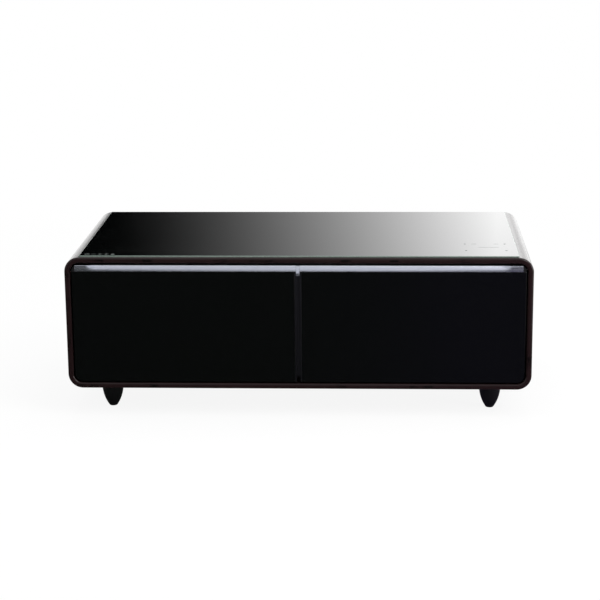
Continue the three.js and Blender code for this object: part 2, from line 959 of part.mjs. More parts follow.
function evaporatorCover() {
  const face = (inset) =>
    outline(
      roundedPoints(
        cavityInner + coverSideGap + inset,
        cavityOuter - coverSideGap - inset,
        cavityFloor + coverFloorGap + inset,
        cavityRoof - coverRoofGap - inset,
        coverCornerRadius - inset,
      ),
    );
  const outletX = (fanX + smallFanRadius + cavityOuter - coverSideGap) / 2;
  const outletRoof = cavityRoof - coverRoofGap - coverSlotDrop;
  const outlets = row(coverSlotCount, coverSlotPitch).map((place) =>
    prism(
      outline(
        roundedPoints(
          outletX + place - coverSlotWidth / 2,
          outletX + place + coverSlotWidth / 2,
          outletRoof - coverSlotHeight,
          outletRoof,
          coverSlotHeight / 2,
          slotEndSteps,
        ),
      ),
      "front",
      coverFront - cutOverrun,
      coverFront + coverSheet + cutOverrun,
    ),
  );
  const fanHole = rod(
    fanX,
    fanZ,
    smallFanRadius + fanTipGap,
    "front",
    coverFront - cutOverrun,
    coverFront + coverSheet + cutOverrun,
    roundSides,
  );
  const tray = cutBy(prism(face(0), "front", coverFront, cavityBack - seatGap), [
    prism(face(coverSheet), "front", coverFront + coverSheet, cavityBack + cutOverrun),
    fanHole,
    ...outlets,
  ]);
  const coverBack = coverFront + coverSheet;
  return joinedTo(
    tray,
    fanSpider(fanX, fanZ, smallFanRadius, smallHubRadius, "front", coverFront, coverBack, rotorFront),
  );
}

function evaporator() {
  return finBlock(
    [
      fanX + smallFanRadius + evaporatorFanGap,
      coverFront + coverSheet + runningGap,
      cavityFloor + coverFloorGap + evaporatorMargin,
    ],
    [
      cavityOuter - coverSideGap - evaporatorMargin,
      cavityBack - seatGap,
      cavityRoof - coverRoofGap - coverSlotDrop - coverSlotHeight - evaporatorMargin,
    ],
    evaporatorFinPitch,
    "x",
  );
}

const evaporatorFan = geometryOf(fanRotor(smallFanRadius, smallFanDepth, smallHubRadius));
const pieces = {
  door_glass: [doorGlass(), finishes.blackGlass],
  door_pan: [doorPan(), finishes.darkTrim],
  door_foam: [doorFoam(), finishes.foam],
  grip: [grip(), finishes.aluminium],
  gasket: [gasket(), finishes.rubber],
  bin: [bin(), finishes.lightPlastic],
  divider: [divider(), finishes.lightPlastic],
  liner: [liner(), finishes.lightPlastic],
  evaporator_cover: [evaporatorCover(), finishes.lightPlastic],
  evaporator: [evaporator(), finishes.aluminium],
};

for (const [side, mirrored] of [
  ["left", -1],
  ["right", 1],
]) {
  const half = new THREE.Group();
  half.scale.x = mirrored;
  table.add(half);
  for (const [name, [body, material]] of Object.entries(pieces)) {
    add(side + "_" + name, body, material, half);
  }
  const fan = add(side + "_evaporator_fan", evaporatorFan, finishes.blackPlastic, half);
  fan.rotation.x = -Math.PI / 2;
  fan.position.set(fanX, rotorFront, fanZ);

  // The slide on the bin's outboard flank is the mirror of the one on its inboard flank
  for (const [flank, wallX, turn] of [
    ["inboard", cavityInner + seatGap, 1],
    ["outboard", cavityOuter - seatGap, -1],
  ]) {
    const slide = new THREE.Group();
    slide.position.set(wallX, 0, railBottom);
    slide.scale.x = turn;
    half.add(slide);
    for (const [member, section] of Object.entries(railMembers)) {
      add(side + "_" + flank + "_" + member, railMember(...section), finishes.steel, slide);
    }
  }
}

// Machine room: compressor on its base
const machine = new THREE.Group();
machine.position.set(0, machineCentreY, 0);
table.add(machine);

function compressor() {
  const shoulder = compressorHeight - compressorDomeHeight;
  const dome = (radius, height) =>
    arc(0, 0, 1, 0, 90, domeSteps).map(({ x, y }) => [radius * x, shoulder + height * y]);
  const inner = compressorRadius - compressorWall;
  const profile = [
    ...dome(inner, compressorDomeHeight - compressorWall).reverse(),
    [inner, 0],
    [compressorRadius + compressorFlange, 0],
    [compressorRadius + compressorFlange, compressorFlangeSheet],
    [compressorRadius, compressorFlangeSheet],
    ...dome(compressorRadius, compressorDomeHeight),
  ];
  const terminals = block(
    [inner, -compressorTerminalWidth / 2, compressorTerminalLift],
    [
      compressorRadius + compressorTerminalDepth,
      compressorTerminalWidth / 2,
      compressorTerminalLift + compressorTerminalHeight,
    ],
  );
  return turned(snapped(profile)).add(terminals);
}

// Profile points that lie on the axis are put on it exactly.
function snapped(profile) {
  return profile.map(([radius, height]) => [radius < seatGap ? 0 : radius, height]);
}

function compressorBase() {
  const half = compressorRadius + compressorFlange + basePlateMargin;
  const depth = Math.min(half, machineRoomDepth / 2 - seatGap);
  const plate = block([-half, -depth, 0], [half, depth, basePlateSheet]);
  const grommetPlace = (compressorRadius + compressorFlange / 2) * Math.SQRT1_2;
  const grommets = [-1, 1].flatMap((sx) =>
    [-1, 1].map((sy) =>
      rod(
        sx * grommetPlace,
        sy * grommetPlace,
        grommetRadius,
        "top",
        0,
        basePlateSheet + grommetHeight,
      ),
    ),
  );
  return joinedTo(plate, grommets);
}

add("compressor", compressor(), finishes.paintedSteel, machine).position.set(compressorX, 0, compressorFoot);
add("compressor_base", compressorBase(), finishes.steel, machine).position.set(compressorX, 0, machineFloor);

// Condenser, and its fan in a frame beside it
add(
  "condenser",
  finBlock(
    [-condenserThickness / 2, -condenserDepth / 2, 0],
    [condenserThickness / 2, condenserDepth / 2, condenserHeight],
    condenserFinPitch,
    "y",
  ),
  finishes.aluminium,
  machine,
).position.set(condenserX, 0, machineFloor);

const fanMiddle = fanFrameSize / 2;
const largeRotorFrom = fanSpokeDepth + 2 * runningGap;
function condenserFanFrame() {
  const frame = prism(
    outline(roundedPoints(-fanMiddle, fanMiddle, 0, fanFrameSize, fanFrameCornerRadius, slotEndSteps), [
      circlePoints(0, fanMiddle, largeFanRadius + fanTipGap, roundSides),
    ]),
    "side",
    0,
    fanFrameThickness,
  );
  return joinedTo(
    frame,
    fanSpider(0, fanMiddle, largeFanRadius, largeHubRadius, "side", 0, fanSpokeDepth, largeRotorFrom),
  );
}

add("condenser_fan_frame", condenserFanFrame(), finishes.blackPlastic, machine).position.set(
  fanFrameX,
  0,
  machineFloor,
);
const condenserFan = fanRotor(largeFanRadius, largeFanDepth, largeHubRadius);
const condenserFanMesh = add("condenser_fan", condenserFan, finishes.blackPlastic, machine);
condenserFanMesh.rotation.y = Math.PI / 2;
condenserFanMesh.position.set(fanFrameX + largeRotorFrom, 0, machineFloor + fanMiddle);

// Pipe: up from the compressor's dome, across, and down to the condenser
function dischargePipe() {
  const start = compressorFoot + compressorHeight + seatGap;
  const end = machineFloor + condenserHeight + seatGap;
  const roof = Math.max(start, end) + pipeRise;
  const at = (x, z) => new THREE.Vector3(x, 0, z);
  const bend = Math.min(pipeBendRadius, (condenserX - compressorX) / 2);
  const path = new THREE.CurvePath();
  path.add(new THREE.LineCurve3(at(compressorX, start), at(compressorX, roof - bend)));
  path.add(
    new THREE.QuadraticBezierCurve3(
      at(compressorX, roof - bend),
      at(compressorX, roof),
      at(compressorX + bend, roof),
    ),
  );
  path.add(new THREE.LineCurve3(at(compressorX + bend, roof), at(condenserX - bend, roof)));
  path.add(
    new THREE.QuadraticBezierCurve3(
      at(condenserX - bend, roof),
      at(condenserX, roof),
      at(condenserX, roof - bend),
    ),
  );
  path.add(new THREE.LineCurve3(at(condenserX, roof - bend), at(condenserX, end)));
  const section = outline(circlePoints(0, 0, pipeRadius, pipeSides));
  return solid(new THREE.ExtrudeGeometry(section, { steps: pipeSteps, extrudePath: path, bevelEnabled: false }));
}

add("discharge_pipe", dischargePipe(), finishes.copper, machine);

// Power supply in its vented case
function powerSupply() {
  const slots = row(supplySlotCount, supplySlotPitch).map((place) =>
    block(
      [place - supplySlotWidth / 2, -supplyDepth / 2 + supplySlotMargin, supplyHeight - supplySlotDepth],
      [place + supplySlotWidth / 2, supplyDepth / 2 - supplySlotMargin, supplyHeight + cutOverrun],
    ),
  );
  const box = block([-supplyWidth / 2, -supplyDepth / 2, 0], [supplyWidth / 2, supplyDepth / 2, supplyHeight]);
  return cutBy(box, slots);
}

const supplyX = roomHalfWidth - supplySideInset;
add("power_supply", powerSupply(), finishes.steel, machine).position.set(supplyX, 0, machineFloor);

// Rear panel with its vents and the holes for what is mounted in it
const inletX = roomHalfWidth - inletSideInset;
const inletZ = roomFloor + inletLift;
const usbX = roomHalfWidth - usbSideInset;
const usbZ = roomFloor + usbLift;

// A hole through the panel for a body that is centred at a place.
function panelHole(x, z, width, height) {
  return block(
    [x - width / 2 - seatGap, panelFront - cutOverrun, z - height / 2 - seatGap],
    [x + width / 2 + seatGap, panelBack + cutOverrun, z + height / 2 + seatGap],
  );
}

// A field of level slots between the panel's margins.
function vents(x, width) {
  const count = fitting(roomRoof - roomFloor - 2 * ventMargin, ventSlotPitch);
  return row(count, ventSlotPitch).map((place) =>
    prism(
      outline(
        roundedPoints(
          x - width / 2,
          x + width / 2,
          machineMiddleZ + place - ventSlotHeight / 2,
          machineMiddleZ + place + ventSlotHeight / 2,
          ventSlotHeight / 2,
          slotEndSteps,
        ),
      ),
      "front",
      panelFront - cutOverrun,
      panelBack + cutOverrun,
    ),
  );
}

function rearPanel() {
  const speakerHoles = [-speakerX, speakerX].map((x) =>
    rod(
      x,
      machineMiddleZ,
      speakerHoleRadius,
      "front",
      panelFront - cutOverrun,
      panelBack + cutOverrun,
      roundSides,
    ),
  );
  return cutBy(prism(outline(shellPoints(cabinetInset)), "front", panelFront, panelBack), [
    ...speakerHoles,
    ...vents(compressorX, compressorVentWidth),
    ...vents(0, condenserVentWidth),
    panelHole(inletX, inletZ, inletBodyWidth, inletBodyHeight),
    panelHole(usbX, usbZ, usbBodyWidth, usbBodyHeight),
  ]);
}

add("rear_panel", rearPanel(), finishes.paintedSteel);

// Speakers: the flange lies on the panel, and the cone faces the back
function speaker() {
  const rim = speakerHoleRadius - seatGap;
  const coneRim = rim - speakerSurroundWidth;
  const face = seatGap + speakerFlangeSheet;
  const basketBack = -rearPanelThickness - speakerBasketDepth;
  return turned([
    [0, basketBack - speakerMagnetDepth],
    [speakerMagnetRadius, basketBack - speakerMagnetDepth],
    [speakerMagnetRadius, basketBack],
    [rim, -rearPanelThickness - seatGap],
    [rim, seatGap],
    [speakerHoleRadius + speakerFlange, seatGap],
    [speakerHoleRadius + speakerFlange, face],
    [rim, face],
    [(rim + coneRim) / 2, face - speakerSurroundWidth / 2],
    [coneRim, face - speakerSurroundWidth / 2],
    [speakerCapRadius, face - speakerConeDepth],
    [speakerCapRadius / 2, face - speakerConeDepth + speakerCapHeight],
    [0, face - speakerConeDepth + speakerCapHeight],
  ]);
}

const speakerGeometry = geometryOf(speaker());
for (const [name, x] of [
  ["left_speaker", -speakerX],
  ["right_speaker", speakerX],
]) {
  const mesh = add(name, speakerGeometry, finishes.blackPlastic);
  mesh.rotation.x = -Math.PI / 2;
  mesh.position.set(x, panelBack, machineMiddleZ);
}

// Mains inlet: a flange on the panel, a body through it, the plug's socket with three pins, and the rocker's bay
function fittingBody(flange, sheet, radius, body, depth) {
  const plate = prism(
    outline(
      roundedPoints(-flange[0] / 2, flange[0] / 2, -flange[1] / 2, flange[1] / 2, radius, slotEndSteps),
    ),
    "front",
    seatGap,
    seatGap + sheet,
  );
  const box = block(
    [-body[0] / 2, -rearPanelThickness - depth, -body[1] / 2],
    [body[0] / 2, seatGap + sheet, body[1] / 2],
  );
  return plate.add(box);
}

const inletFace = seatGap + inletFlangeSheet;
function mainsInlet() {
  const housing = fittingBody(
    [inletFlangeWidth, inletFlangeHeight],
    inletFlangeSheet,
    inletFlangeRadius,
    [inletBodyWidth, inletBodyHeight],
    inletBodyDepth,
  );
  const socketBack = inletFace - inletSocketDepth;
  const socket = block(
    [-inletSocketOffset - inletSocketWidth / 2, socketBack, -inletSocketHeight / 2],
    [-inletSocketOffset + inletSocketWidth / 2, inletFace + cutOverrun, inletSocketHeight / 2],
  );
  const pins = [
    [-1, -1],
    [0, 1],
    [1, -1],
  ].map(([side, lift]) =>
    block(
      [
        -inletSocketOffset + side * inletPinSpacing - inletPinWidth / 2,
        socketBack - cutOverrun / 2,
        lift * inletPinLift - inletPinHeight / 2,
      ],
      [
        -inletSocketOffset + side * inletPinSpacing + inletPinWidth / 2,
        socketBack + inletPinLength,
        lift * inletPinLift + inletPinHeight / 2,
      ],
    ),
  );
  const bay = block(
    [
      switchOffset - switchWidth / 2 - runningGap,
      inletFace - switchRadius - runningGap,
      -switchHeight / 2 - runningGap,
    ],
    [
      switchOffset + switchWidth / 2 + runningGap,
      inletFace + cutOverrun,
      switchHeight / 2 + runningGap,
    ],
  );
  return joinedTo(cutBy(housing, [socket, bay]), pins);
}

add("mains_inlet", mainsInlet(), finishes.blackPlastic).position.set(inletX, panelBack, inletZ);

// Rocker: a round-backed prism with a shallow V for its face, tipped to its off side
function rocker() {
  const halfHeight = switchHeight / 2 - runningGap;
  const backRadius = switchRadius - runningGap;
  const startAngle = THREE.MathUtils.radToDeg(Math.asin(halfHeight / backRadius));
  const section = [
    ...arc(0, 0, backRadius, 180 - startAngle, 180 + startAngle, cornerSteps),
    new THREE.Vector2(switchFaceDepth, -halfHeight),
    new THREE.Vector2(switchFaceDepth / 2, 0),
    new THREE.Vector2(switchFaceDepth, halfHeight),
  ];
  return prism(outline(section), "side", -switchWidth / 2, switchWidth / 2);
}

const switchMesh = add("power_switch", rocker(), finishes.blackPlastic);
switchMesh.rotation.x = THREE.MathUtils.degToRad(switchTilt);
switchMesh.position.set(inletX + switchOffset, panelBack + inletFace, inletZ);

// Socket plate with two ports for charging leads
function usbPanel() {
  const face = seatGap + usbPlateSheet;
  const housing = fittingBody(
    [usbPlateWidth, usbPlateHeight],
    usbPlateSheet,
    usbPlateRadius,
    [usbBodyWidth, usbBodyHeight],
    usbBodyDepth,
  );
  const ports = [-1, 1].map((side) =>
    block(
      [side * (usbPortSpacing / 2) - usbPortWidth / 2, face - usbPortDepth, -usbPortHeight / 2],
      [side * (usbPortSpacing / 2) + usbPortWidth / 2, face + cutOverrun, usbPortHeight / 2],
    ),
  );
  return cutBy(housing, ports);
}

add("usb_panel", usbPanel(), finishes.blackPlastic).position.set(usbX, panelBack, usbZ);

export default table;
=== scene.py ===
# %% [markdown]
# # A coffee table with two cooled drawers
#
# The table is a wide tube of dark laminated board on four bullet-shaped feet. A plate of black glass is
# let into its top, and two drawers fronted with black glass close its open end. Under the skin it is a
# refrigerator: white moulded bins run on steel slides in two foamed cavities, and a compressor stands
# in a room behind them.
#
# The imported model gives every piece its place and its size. This script dresses it: it works out a fine
# surface for each piece that shows, gives each one the material that the real one is made of, and
# lights it like a plain studio photograph. X runs to the right of someone facing the drawers, Y to the
# back, Z up, and lengths are metres.

# %% The frame that everything is fitted to
import json
from math import radians

import bmesh
import bpy
import numpy as np
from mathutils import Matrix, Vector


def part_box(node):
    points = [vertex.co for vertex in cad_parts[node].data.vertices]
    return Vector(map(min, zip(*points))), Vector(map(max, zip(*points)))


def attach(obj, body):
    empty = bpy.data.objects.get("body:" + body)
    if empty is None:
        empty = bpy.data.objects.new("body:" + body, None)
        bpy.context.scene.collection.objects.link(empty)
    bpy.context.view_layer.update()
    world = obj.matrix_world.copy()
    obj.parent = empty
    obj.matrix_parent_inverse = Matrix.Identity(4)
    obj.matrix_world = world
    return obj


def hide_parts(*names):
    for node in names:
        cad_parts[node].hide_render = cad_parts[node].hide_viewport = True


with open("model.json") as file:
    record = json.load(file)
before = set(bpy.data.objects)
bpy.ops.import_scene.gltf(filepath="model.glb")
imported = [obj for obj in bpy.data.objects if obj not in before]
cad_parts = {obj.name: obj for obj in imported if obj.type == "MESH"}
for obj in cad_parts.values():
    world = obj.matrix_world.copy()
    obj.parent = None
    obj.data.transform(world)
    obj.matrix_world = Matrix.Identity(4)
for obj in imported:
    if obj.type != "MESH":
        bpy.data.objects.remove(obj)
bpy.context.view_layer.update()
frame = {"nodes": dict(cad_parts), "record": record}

MM = 0.001
SEAT = 0.3 * MM  # clearance between a piece and what it is let into
body_of = {node: body for body, nodes in frame["record"]["behaviour"]["bodies"].items() for node in nodes}


def ends(node):
    """Lowest and highest corner of a node of the frame, as two rows of X, Y and Z."""
    return np.array([list(corner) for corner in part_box(node)])


# %% [markdown]
# ## The camera
#
# The photograph looks at the table from a little above and a little to the right of its middle, through
# a long lens. A pinhole was fitted to the edges of the body, the glass and the feet in the photograph,
# which gave the place, the turn and the lens below. The uprights lean less in the photograph, as through
# a shifted lens. That shift is left out, because it would push the table out of every other view. In a
# picture 600 pixels wide, the edges then lie within 2.5 pixels of the photograph's, and the corners of
# the glass within 4.

# %% The camera
camera_lens = bpy.data.cameras.new("camera")
camera = bpy.data.objects.new("camera", camera_lens)
bpy.context.collection.objects.link(camera)
bpy.context.scene.camera = camera
camera.location = (0.2346, -5.1075, 1.5415)
camera.rotation_euler = (radians(75.89), radians(0.509), radians(2.61))
camera_lens.sensor_width = 36
camera_lens.lens = 106.9
print("camera at", tuple(camera.location), "with a lens of", camera_lens.lens, "mm")

# %% [markdown]
# ## Small tools for materials
#
# A material is a small graph: patterns feed a shader. Colours are written as the hex codes that a
# designer picks on a screen, and the shader wants linear light, so one function turns the one into the
# other. A second one adds a node, sets its settings and joins its sockets in one line, so that each
# graph below reads like a recipe. The others are what most finishes share: a noise of a real size, a
# range of numbers, a mix of two tones and a bump of a real depth.


# %% Colours and nodes
def colour(code):
    """A hex sRGB colour as linear light: a channel above 0.04045 becomes ((channel + 0.055) / 1.055) to
    the power 2.4, and a darker one channel / 12.92."""
    channels = np.array([int(code[i : i + 2], 16) for i in (1, 3, 5)]) / 255
    linear = np.where(channels <= 0.04045, channels / 12.92, ((channels + 0.055) / 1.055) ** 2.4)
    return (*linear.tolist(), 1.0)


def add_node(tree, kind, sockets=None, **settings):
    """A new node with its settings made and its sockets filled. A socket given as a value is joined,
    and anything else is set."""
    made = tree.nodes.new("ShaderNode" + kind)
    for name, value in settings.items():
        setattr(made, name, value)
    for name, value in (sockets or {}).items():
        if isinstance(value, bpy.types.NodeSocket):
            tree.links.new(value, made.inputs[name])
        else:
            made.inputs[name].default_value = value
    return made


def start_material(name, **sockets):
    """A new material, its node tree, and its principled shader with the named sockets set."""
    made = bpy.data.materials.new(name)
    made.use_nodes = True
    shader = made.node_tree.nodes["Principled BSDF"]
    for socket, value in sockets.items():
        shader.inputs[socket.replace("_", " ")].default_value = value
    return made, made.node_tree, shader


def spots(tree, size, stretch=(1, 1, 1), detail=2.0):
    """Noise whose spots measure a size in metres, drawn out along X, Y and Z, read in the object's own
    place."""
    place = add_node(tree, "TexCoord").outputs["Object"]
    scaled = add_node(tree, "Mapping", {"Vector": place, "Scale": [1 / (size * s) for s in stretch]})
    given = {"Vector": scaled.outputs["Vector"], "Scale": 1.0, "Detail": detail}
    return add_node(tree, "TexNoise", given).outputs["Fac"]


def between(tree, factor, low, high, first=0.35, last=0.65):
    """A number that runs from low to high while the factor runs from first to last."""
    given = {"Value": factor, "From Min": first, "From Max": last, "To Min": low, "To Max": high}
    return add_node(tree, "MapRange", given).outputs["Result"]


def two_tones(tree, factor, dark, light):
    """A colour that runs from one hex code to another with a factor."""
    shade = add_node(tree, "Mix", {0: factor, 6: colour(dark), 7: colour(light)}, data_type="RGBA")
    return shade.outputs[2]


def relief(tree, shader, height, depth):
    """Height from 0 to 1 made a bump of a depth in metres on a shader."""
    bump = add_node(tree, "Bump", {"Height": height, "Distance": depth, "Strength": 1.0})
    tree.links.new(bump.outputs["Normal"], shader.inputs["Normal"])


# %% [markdown]
# ## Plastics, rubber, foam, ink and paint
#
# Most of the hidden pieces are moulded, cast or painted. Such a surface is one colour to the eye, but
# up close its shade, its gloss and its height all wander together, because all three follow the texture
# of the mould or the flow of the paint. So one function makes them all from a single noise, and each
# finish below is a row of real values: what the mould's texture measures, how deep it is, and how
# glossy the skin is.


# %% Finishes with one texture
def textured(name, dark, light, gloss, size, depth, metal=0.0, ior=1.5, stretch=(1, 1, 1)):
    """A finish whose shade, roughness and height follow one noise. gloss is its lowest and highest
    roughness, size that of its spots and depth that of its relief, in metres."""
    made, tree, shader = start_material(name, Metallic=metal, IOR=ior)
    noise = spots(tree, size, stretch)
    shade = between(tree, noise, 0.0, 1.0)
    tree.links.new(two_tones(tree, shade, dark, light), shader.inputs["Base Color"])
    tree.links.new(between(tree, noise, *gloss), shader.inputs["Roughness"])
    relief(tree, shader, noise, depth)
    return made


# Black ABS, moulded in an etched tool: a fine even grain that takes the edge off its gloss.
abs_black = textured("abs_black_moulded", "#0a0a0b", "#101011", (0.3, 0.42), 1.2 * MM, 0.02 * MM)
# High-impact polystyrene, vacuum-formed white: smooth and a little wavy, as sheet drawn over a tool is.
styrene_white = textured("polystyrene_white_formed", "#dcdfe1", "#dfe2e4", (0.3, 0.36), 60 * MM, 0.1 * MM)
# ABS for the bins, injected in a polished tool: cooler and glossier than the liner behind it.
abs_white = textured("abs_white_moulded", "#d9dde0", "#dcdfe2", (0.22, 0.28), 30 * MM, 0.03 * MM)
# Soft PVC of the gaskets, extruded: dull, with faint drag lines along it.
pvc_soft = textured("pvc_soft_extruded", "#2c2d2f", "#343537", (0.55, 0.7), 2 * MM, 0.05 * MM)
# Rubber-coated paper cone and rubber surround of a loudspeaker: matt and fibrous.
cone_paper = textured("paper_cone_pressed", "#131315", "#1c1c1f", (0.65, 0.85), 1.5 * MM, 0.08 * MM)
# Polyurethane foam, cut: pale, dull and full of small cells.
foam = textured("polyurethane_foam_cut", "#d9d0b2", "#ece5cc", (0.85, 0.95), 2.5 * MM, 0.4 * MM, ior=1.4)
# Powder-coated steel sheet: the paint flows into a fine orange peel, spots of 2 mm.
steel_coated = textured("steel_powder_coated", "#1a1a1c", "#202023", (0.42, 0.52), 2 * MM, 0.03 * MM)
# Circuit board: green lacquer over woven glass, glossy with a faint weave.
board_lacquered = textured("circuit_board_lacquered", "#17492f", "#1f5f3e", (0.2, 0.3), 1.0 * MM, 0.02 * MM)
# Ink screen-printed on the glass and fired: a grey-green that shows both on black and on a shine.
ink_fired = textured("ceramic_ink_fired", "#545d5a", "#5f6865", (0.6, 0.7), 0.8 * MM, 0.01 * MM)
print("finishes with one texture:", len(bpy.data.materials))

# %% [markdown]
# ## Metals
#
# A metal has no colour under its shine: its base colour is the colour of its reflections, and its index
# of refraction stays at the default. What tells metals apart is how they were worked. The grips are
# extruded and then blasted and anodised, which leaves fine lines along the extrusion under a soft, even
# sheen. The slides are pressed from galvanised strip, whose zinc froze into flat crystals. The radiator
# fins are mill-finished foil.


# %% Metals
# Anodised aluminium: die lines every 0.3 mm, drawn 0.9 mm apart so that they show, run along X.
DIE_LINE = 0.9 * MM
aluminium_satin = textured(
    "aluminium_anodised_satin",
    "#e2e6f1",
    "#edf0f9",
    (0.22, 0.28),
    DIE_LINE,
    0.006 * MM,
    metal=1.0,
    stretch=(150, 1, 1),
)
# The same aluminium dyed black, for the trim between the drawers.
aluminium_black = textured(
    "aluminium_anodised_black",
    "#39393d",
    "#424246",
    (0.38, 0.46),
    DIE_LINE,
    0.006 * MM,
    metal=1.0,
    stretch=(1, 1, 150),
)
# Mill-finished foil of the fins.
aluminium_foil = textured(
    "aluminium_mill_finished",
    "#b4b8bc",
    "#c4c8cc",
    (0.3, 0.4),
    3 * MM,
    0.02 * MM,
    metal=1.0,
    stretch=(1, 1, 8),
)
# Copper tube, drawn and a little tarnished.
copper_drawn = textured("copper_drawn", "#a35f3f", "#c98058", (0.25, 0.45), 8 * MM, 0.01 * MM, 1.0)


def galvanised():
    """Zinc-dipped steel: each crystal of the zinc is a cell with its own shade and gloss."""
    crystal = 6 * MM
    made, tree, shader = start_material("steel_galvanised", Metallic=1.0)
    place = add_node(tree, "TexCoord").outputs["Object"]
    scaled = add_node(tree, "Mapping", {"Vector": place, "Scale": [1 / crystal] * 3})
    crystals = add_node(tree, "TexVoronoi", {"Vector": scaled.outputs["Vector"], "Scale": 1.0})
    grey = add_node(tree, "RGBToBW", {"Color": crystals.outputs["Color"]}).outputs[0]
    tree.links.new(two_tones(tree, grey, "#989da2", "#b5babe"), shader.inputs["Base Color"])
    tree.links.new(between(tree, grey, 0.32, 0.48, 0.0, 1.0), shader.inputs["Roughness"])
    relief(tree, shader, grey, 0.01 * MM)
    return made


steel_galvanised = galvanised()
print("metals made")

# %% [markdown]
# ## Black glass
#
# The top and the drawer fronts are toughened glass, painted black on the back. What the eye gets is the
# mirror of the front face, with hardly any blur, over nothing: the paint is only a deep black below.
# Fingers leave faint patches that blur the mirror a little, so the roughness wanders by a hair over a
# hand's width. The edges are ground and polished, and where the light gets into the glass they show a
# pale grey-green line: its green tint is the glass's own, and its paleness is a painted highlight in
# the edge's colour.


# %% Black glass
def glass_painted():
    """Glass over black paint: the shader's own Fresnel makes the mirror, and a noise fogs it a little."""
    name = "glass_toughened_back_painted"
    made, tree, shader = start_material(name, Base_Color=colour("#050606"), IOR=1.52)
    fog = spots(tree, 90 * MM)
    tree.links.new(between(tree, fog, 0.015, 0.05), shader.inputs["Roughness"])
    return made


glass_black = glass_painted()
# The ground edge: the same glass, frosted by a fine stone and then polished. Its green is the glass's own,
# and its paleness is a painted highlight.
edge_painted_highlight = textured("glass_edge_painted_highlight", "#6b7a72", "#7a8a81", (0.12, 0.2), 4 * MM, 0.02 * MM, ior=1.52)
print("glass made")

# %% [markdown]
# ## Laminated board
#
# The body is board wrapped in a dark laminate, printed like stained oak and pressed against a textured
# plate. Two things make it: slow streaks of two close browns that run along the sheet, and short dark
# pores, pressed in, that run the same way. The sheet goes round the tube, so the grain runs along X on
# the top and down the sides. Noise that is drawn out in both X and Z, and fine only in Y, follows it
# round every corner without a seam.


# %% Laminated board
def laminate_wood():
    """Streaks of two browns in 5 mm bands, and pores a millimetre wide that darken and sink it."""
    name = "laminate_pressed_dark_oak"
    made, tree, shader = start_material(name, IOR=1.5, Specular_IOR_Level=0.2)
    bands = between(tree, spots(tree, 5 * MM, (60, 1, 60), 5.0), 0.0, 1.0, 0.3, 0.7)
    clouds = between(tree, spots(tree, 140 * MM, (3, 1, 3)), 0.0, 1.0, 0.3, 0.7)
    pores = between(tree, spots(tree, 1.1 * MM, (40, 1, 40), 1.0), 1.0, 0.0, 0.3, 0.42)
    streaks = two_tones(tree, bands, "#190f10", "#241718")
    warmed = add_node(tree, "Mix", {0: clouds, 6: streaks, 7: colour("#1e1314")}, data_type="RGBA")
    sunk = add_node(tree, "Mix", {0: pores, 6: warmed.outputs[2], 7: colour("#0f0a0a")}, data_type="RGBA")
    tree.links.new(sunk.outputs[2], shader.inputs["Base Color"])
    tree.links.new(between(tree, bands, 0.12, 0.17, 0.0, 1.0), shader.inputs["Roughness"])
    raised = add_node(tree, "Math", {0: bands, 1: pores}, operation="SUBTRACT").outputs[0]
    relief(tree, shader, raised, 0.03 * MM)
    return made


laminate = laminate_wood()
print("materials in all:", len(bpy.data.materials))

# %% [markdown]
# ## How the shapes are made
#
# Nearly everything here is a profile carried round an outline: a plate, a tray, a tube, a ring. So one
# function gives the outline, a rectangle with round corners that can be drawn in by any inset, and the
# profile says how far in and how far along each row lies. Rows and columns make a grid of points, and
# the grid makes the mesh.


# %% Outlines and grids
# For each way of looking, the axes that lie across, up and along the line of sight.
AXES = {"front": (0, 2, 1), "top": (0, 1, 2), "side": (1, 2, 0)}


def rounded(low, high, radii, insets=0.0, steps=10):
    """Rectangles with round corners, one for each inset, anticlockwise from the lowest left corner. A
    corner's radius shrinks by the inset, down to nothing, and its points are its centre plus that
    radius times a quarter circle."""
    insets = np.atleast_1d(insets)[:, None]
    r = np.maximum(np.broadcast_to(radii, 4) - insets, 0)
    sides = np.array([[-1, -1], [1, -1], [1, 1], [-1, 1]])
    centres = np.where(sides < 0, low, high) - sides * (insets + r)[..., None]
    turn = np.radians(180 + 90 * np.arange(4)[:, None] + np.linspace(0, 90, steps + 1))
    arcs = np.stack([np.cos(turn), np.sin(turn)], -1)
    points = centres[:, :, None] + r[:, :, None, None] * arcs
    return points.reshape(len(insets), -1, 2)


def carried(outlines, along, view):
    """Outlines seen from one side, each put at its place along the line of sight: a grid in space."""
    across, up, deep = AXES[view]
    points = np.empty((*outlines.shape[:2], 3))
    points[..., across] = outlines[..., 0]
    points[..., up] = outlines[..., 1]
    points[..., deep] = np.broadcast_to(np.asarray(along).T, outlines.shape[1::-1]).T
    return points


def turned(profile, centre, axis, sides=64):
    """A profile of radius and height turned about an axis through a centre: a circle for each row."""
    turn = np.linspace(0, 2 * np.pi, sides, endpoint=False)
    radius, height = np.asarray(profile).T
    first, second = [i for i in range(3) if i != axis]
    points = np.empty((len(radius), sides, 3))
    points[..., first] = centre[first] + radius[:, None] * np.cos(turn)
    points[..., second] = centre[second] + radius[:, None] * np.sin(turn)
    points[..., axis] = centre[axis] + height[:, None]
    return points


def faces_of(rows, columns, start, closed):
    """Quads between neighbours of a grid whose rows close on themselves. A closed grid's last row joins
    its first, and an open one gets a face over each end."""
    index = start + np.arange(rows * columns).reshape(rows, columns)
    here = index if closed else index[:-1]
    next_row = np.roll(index, -1, 0) if closed else index[1:]
    quads = np.stack([here, np.roll(here, -1, 1), np.roll(next_row, -1, 1), next_row], -1)
    caps = [] if closed else [index[0, ::-1].tolist(), index[-1].tolist()]
    return quads.reshape(-1, 4).tolist() + caps


MERGE = 0.001 * MM  # points nearer than this are one


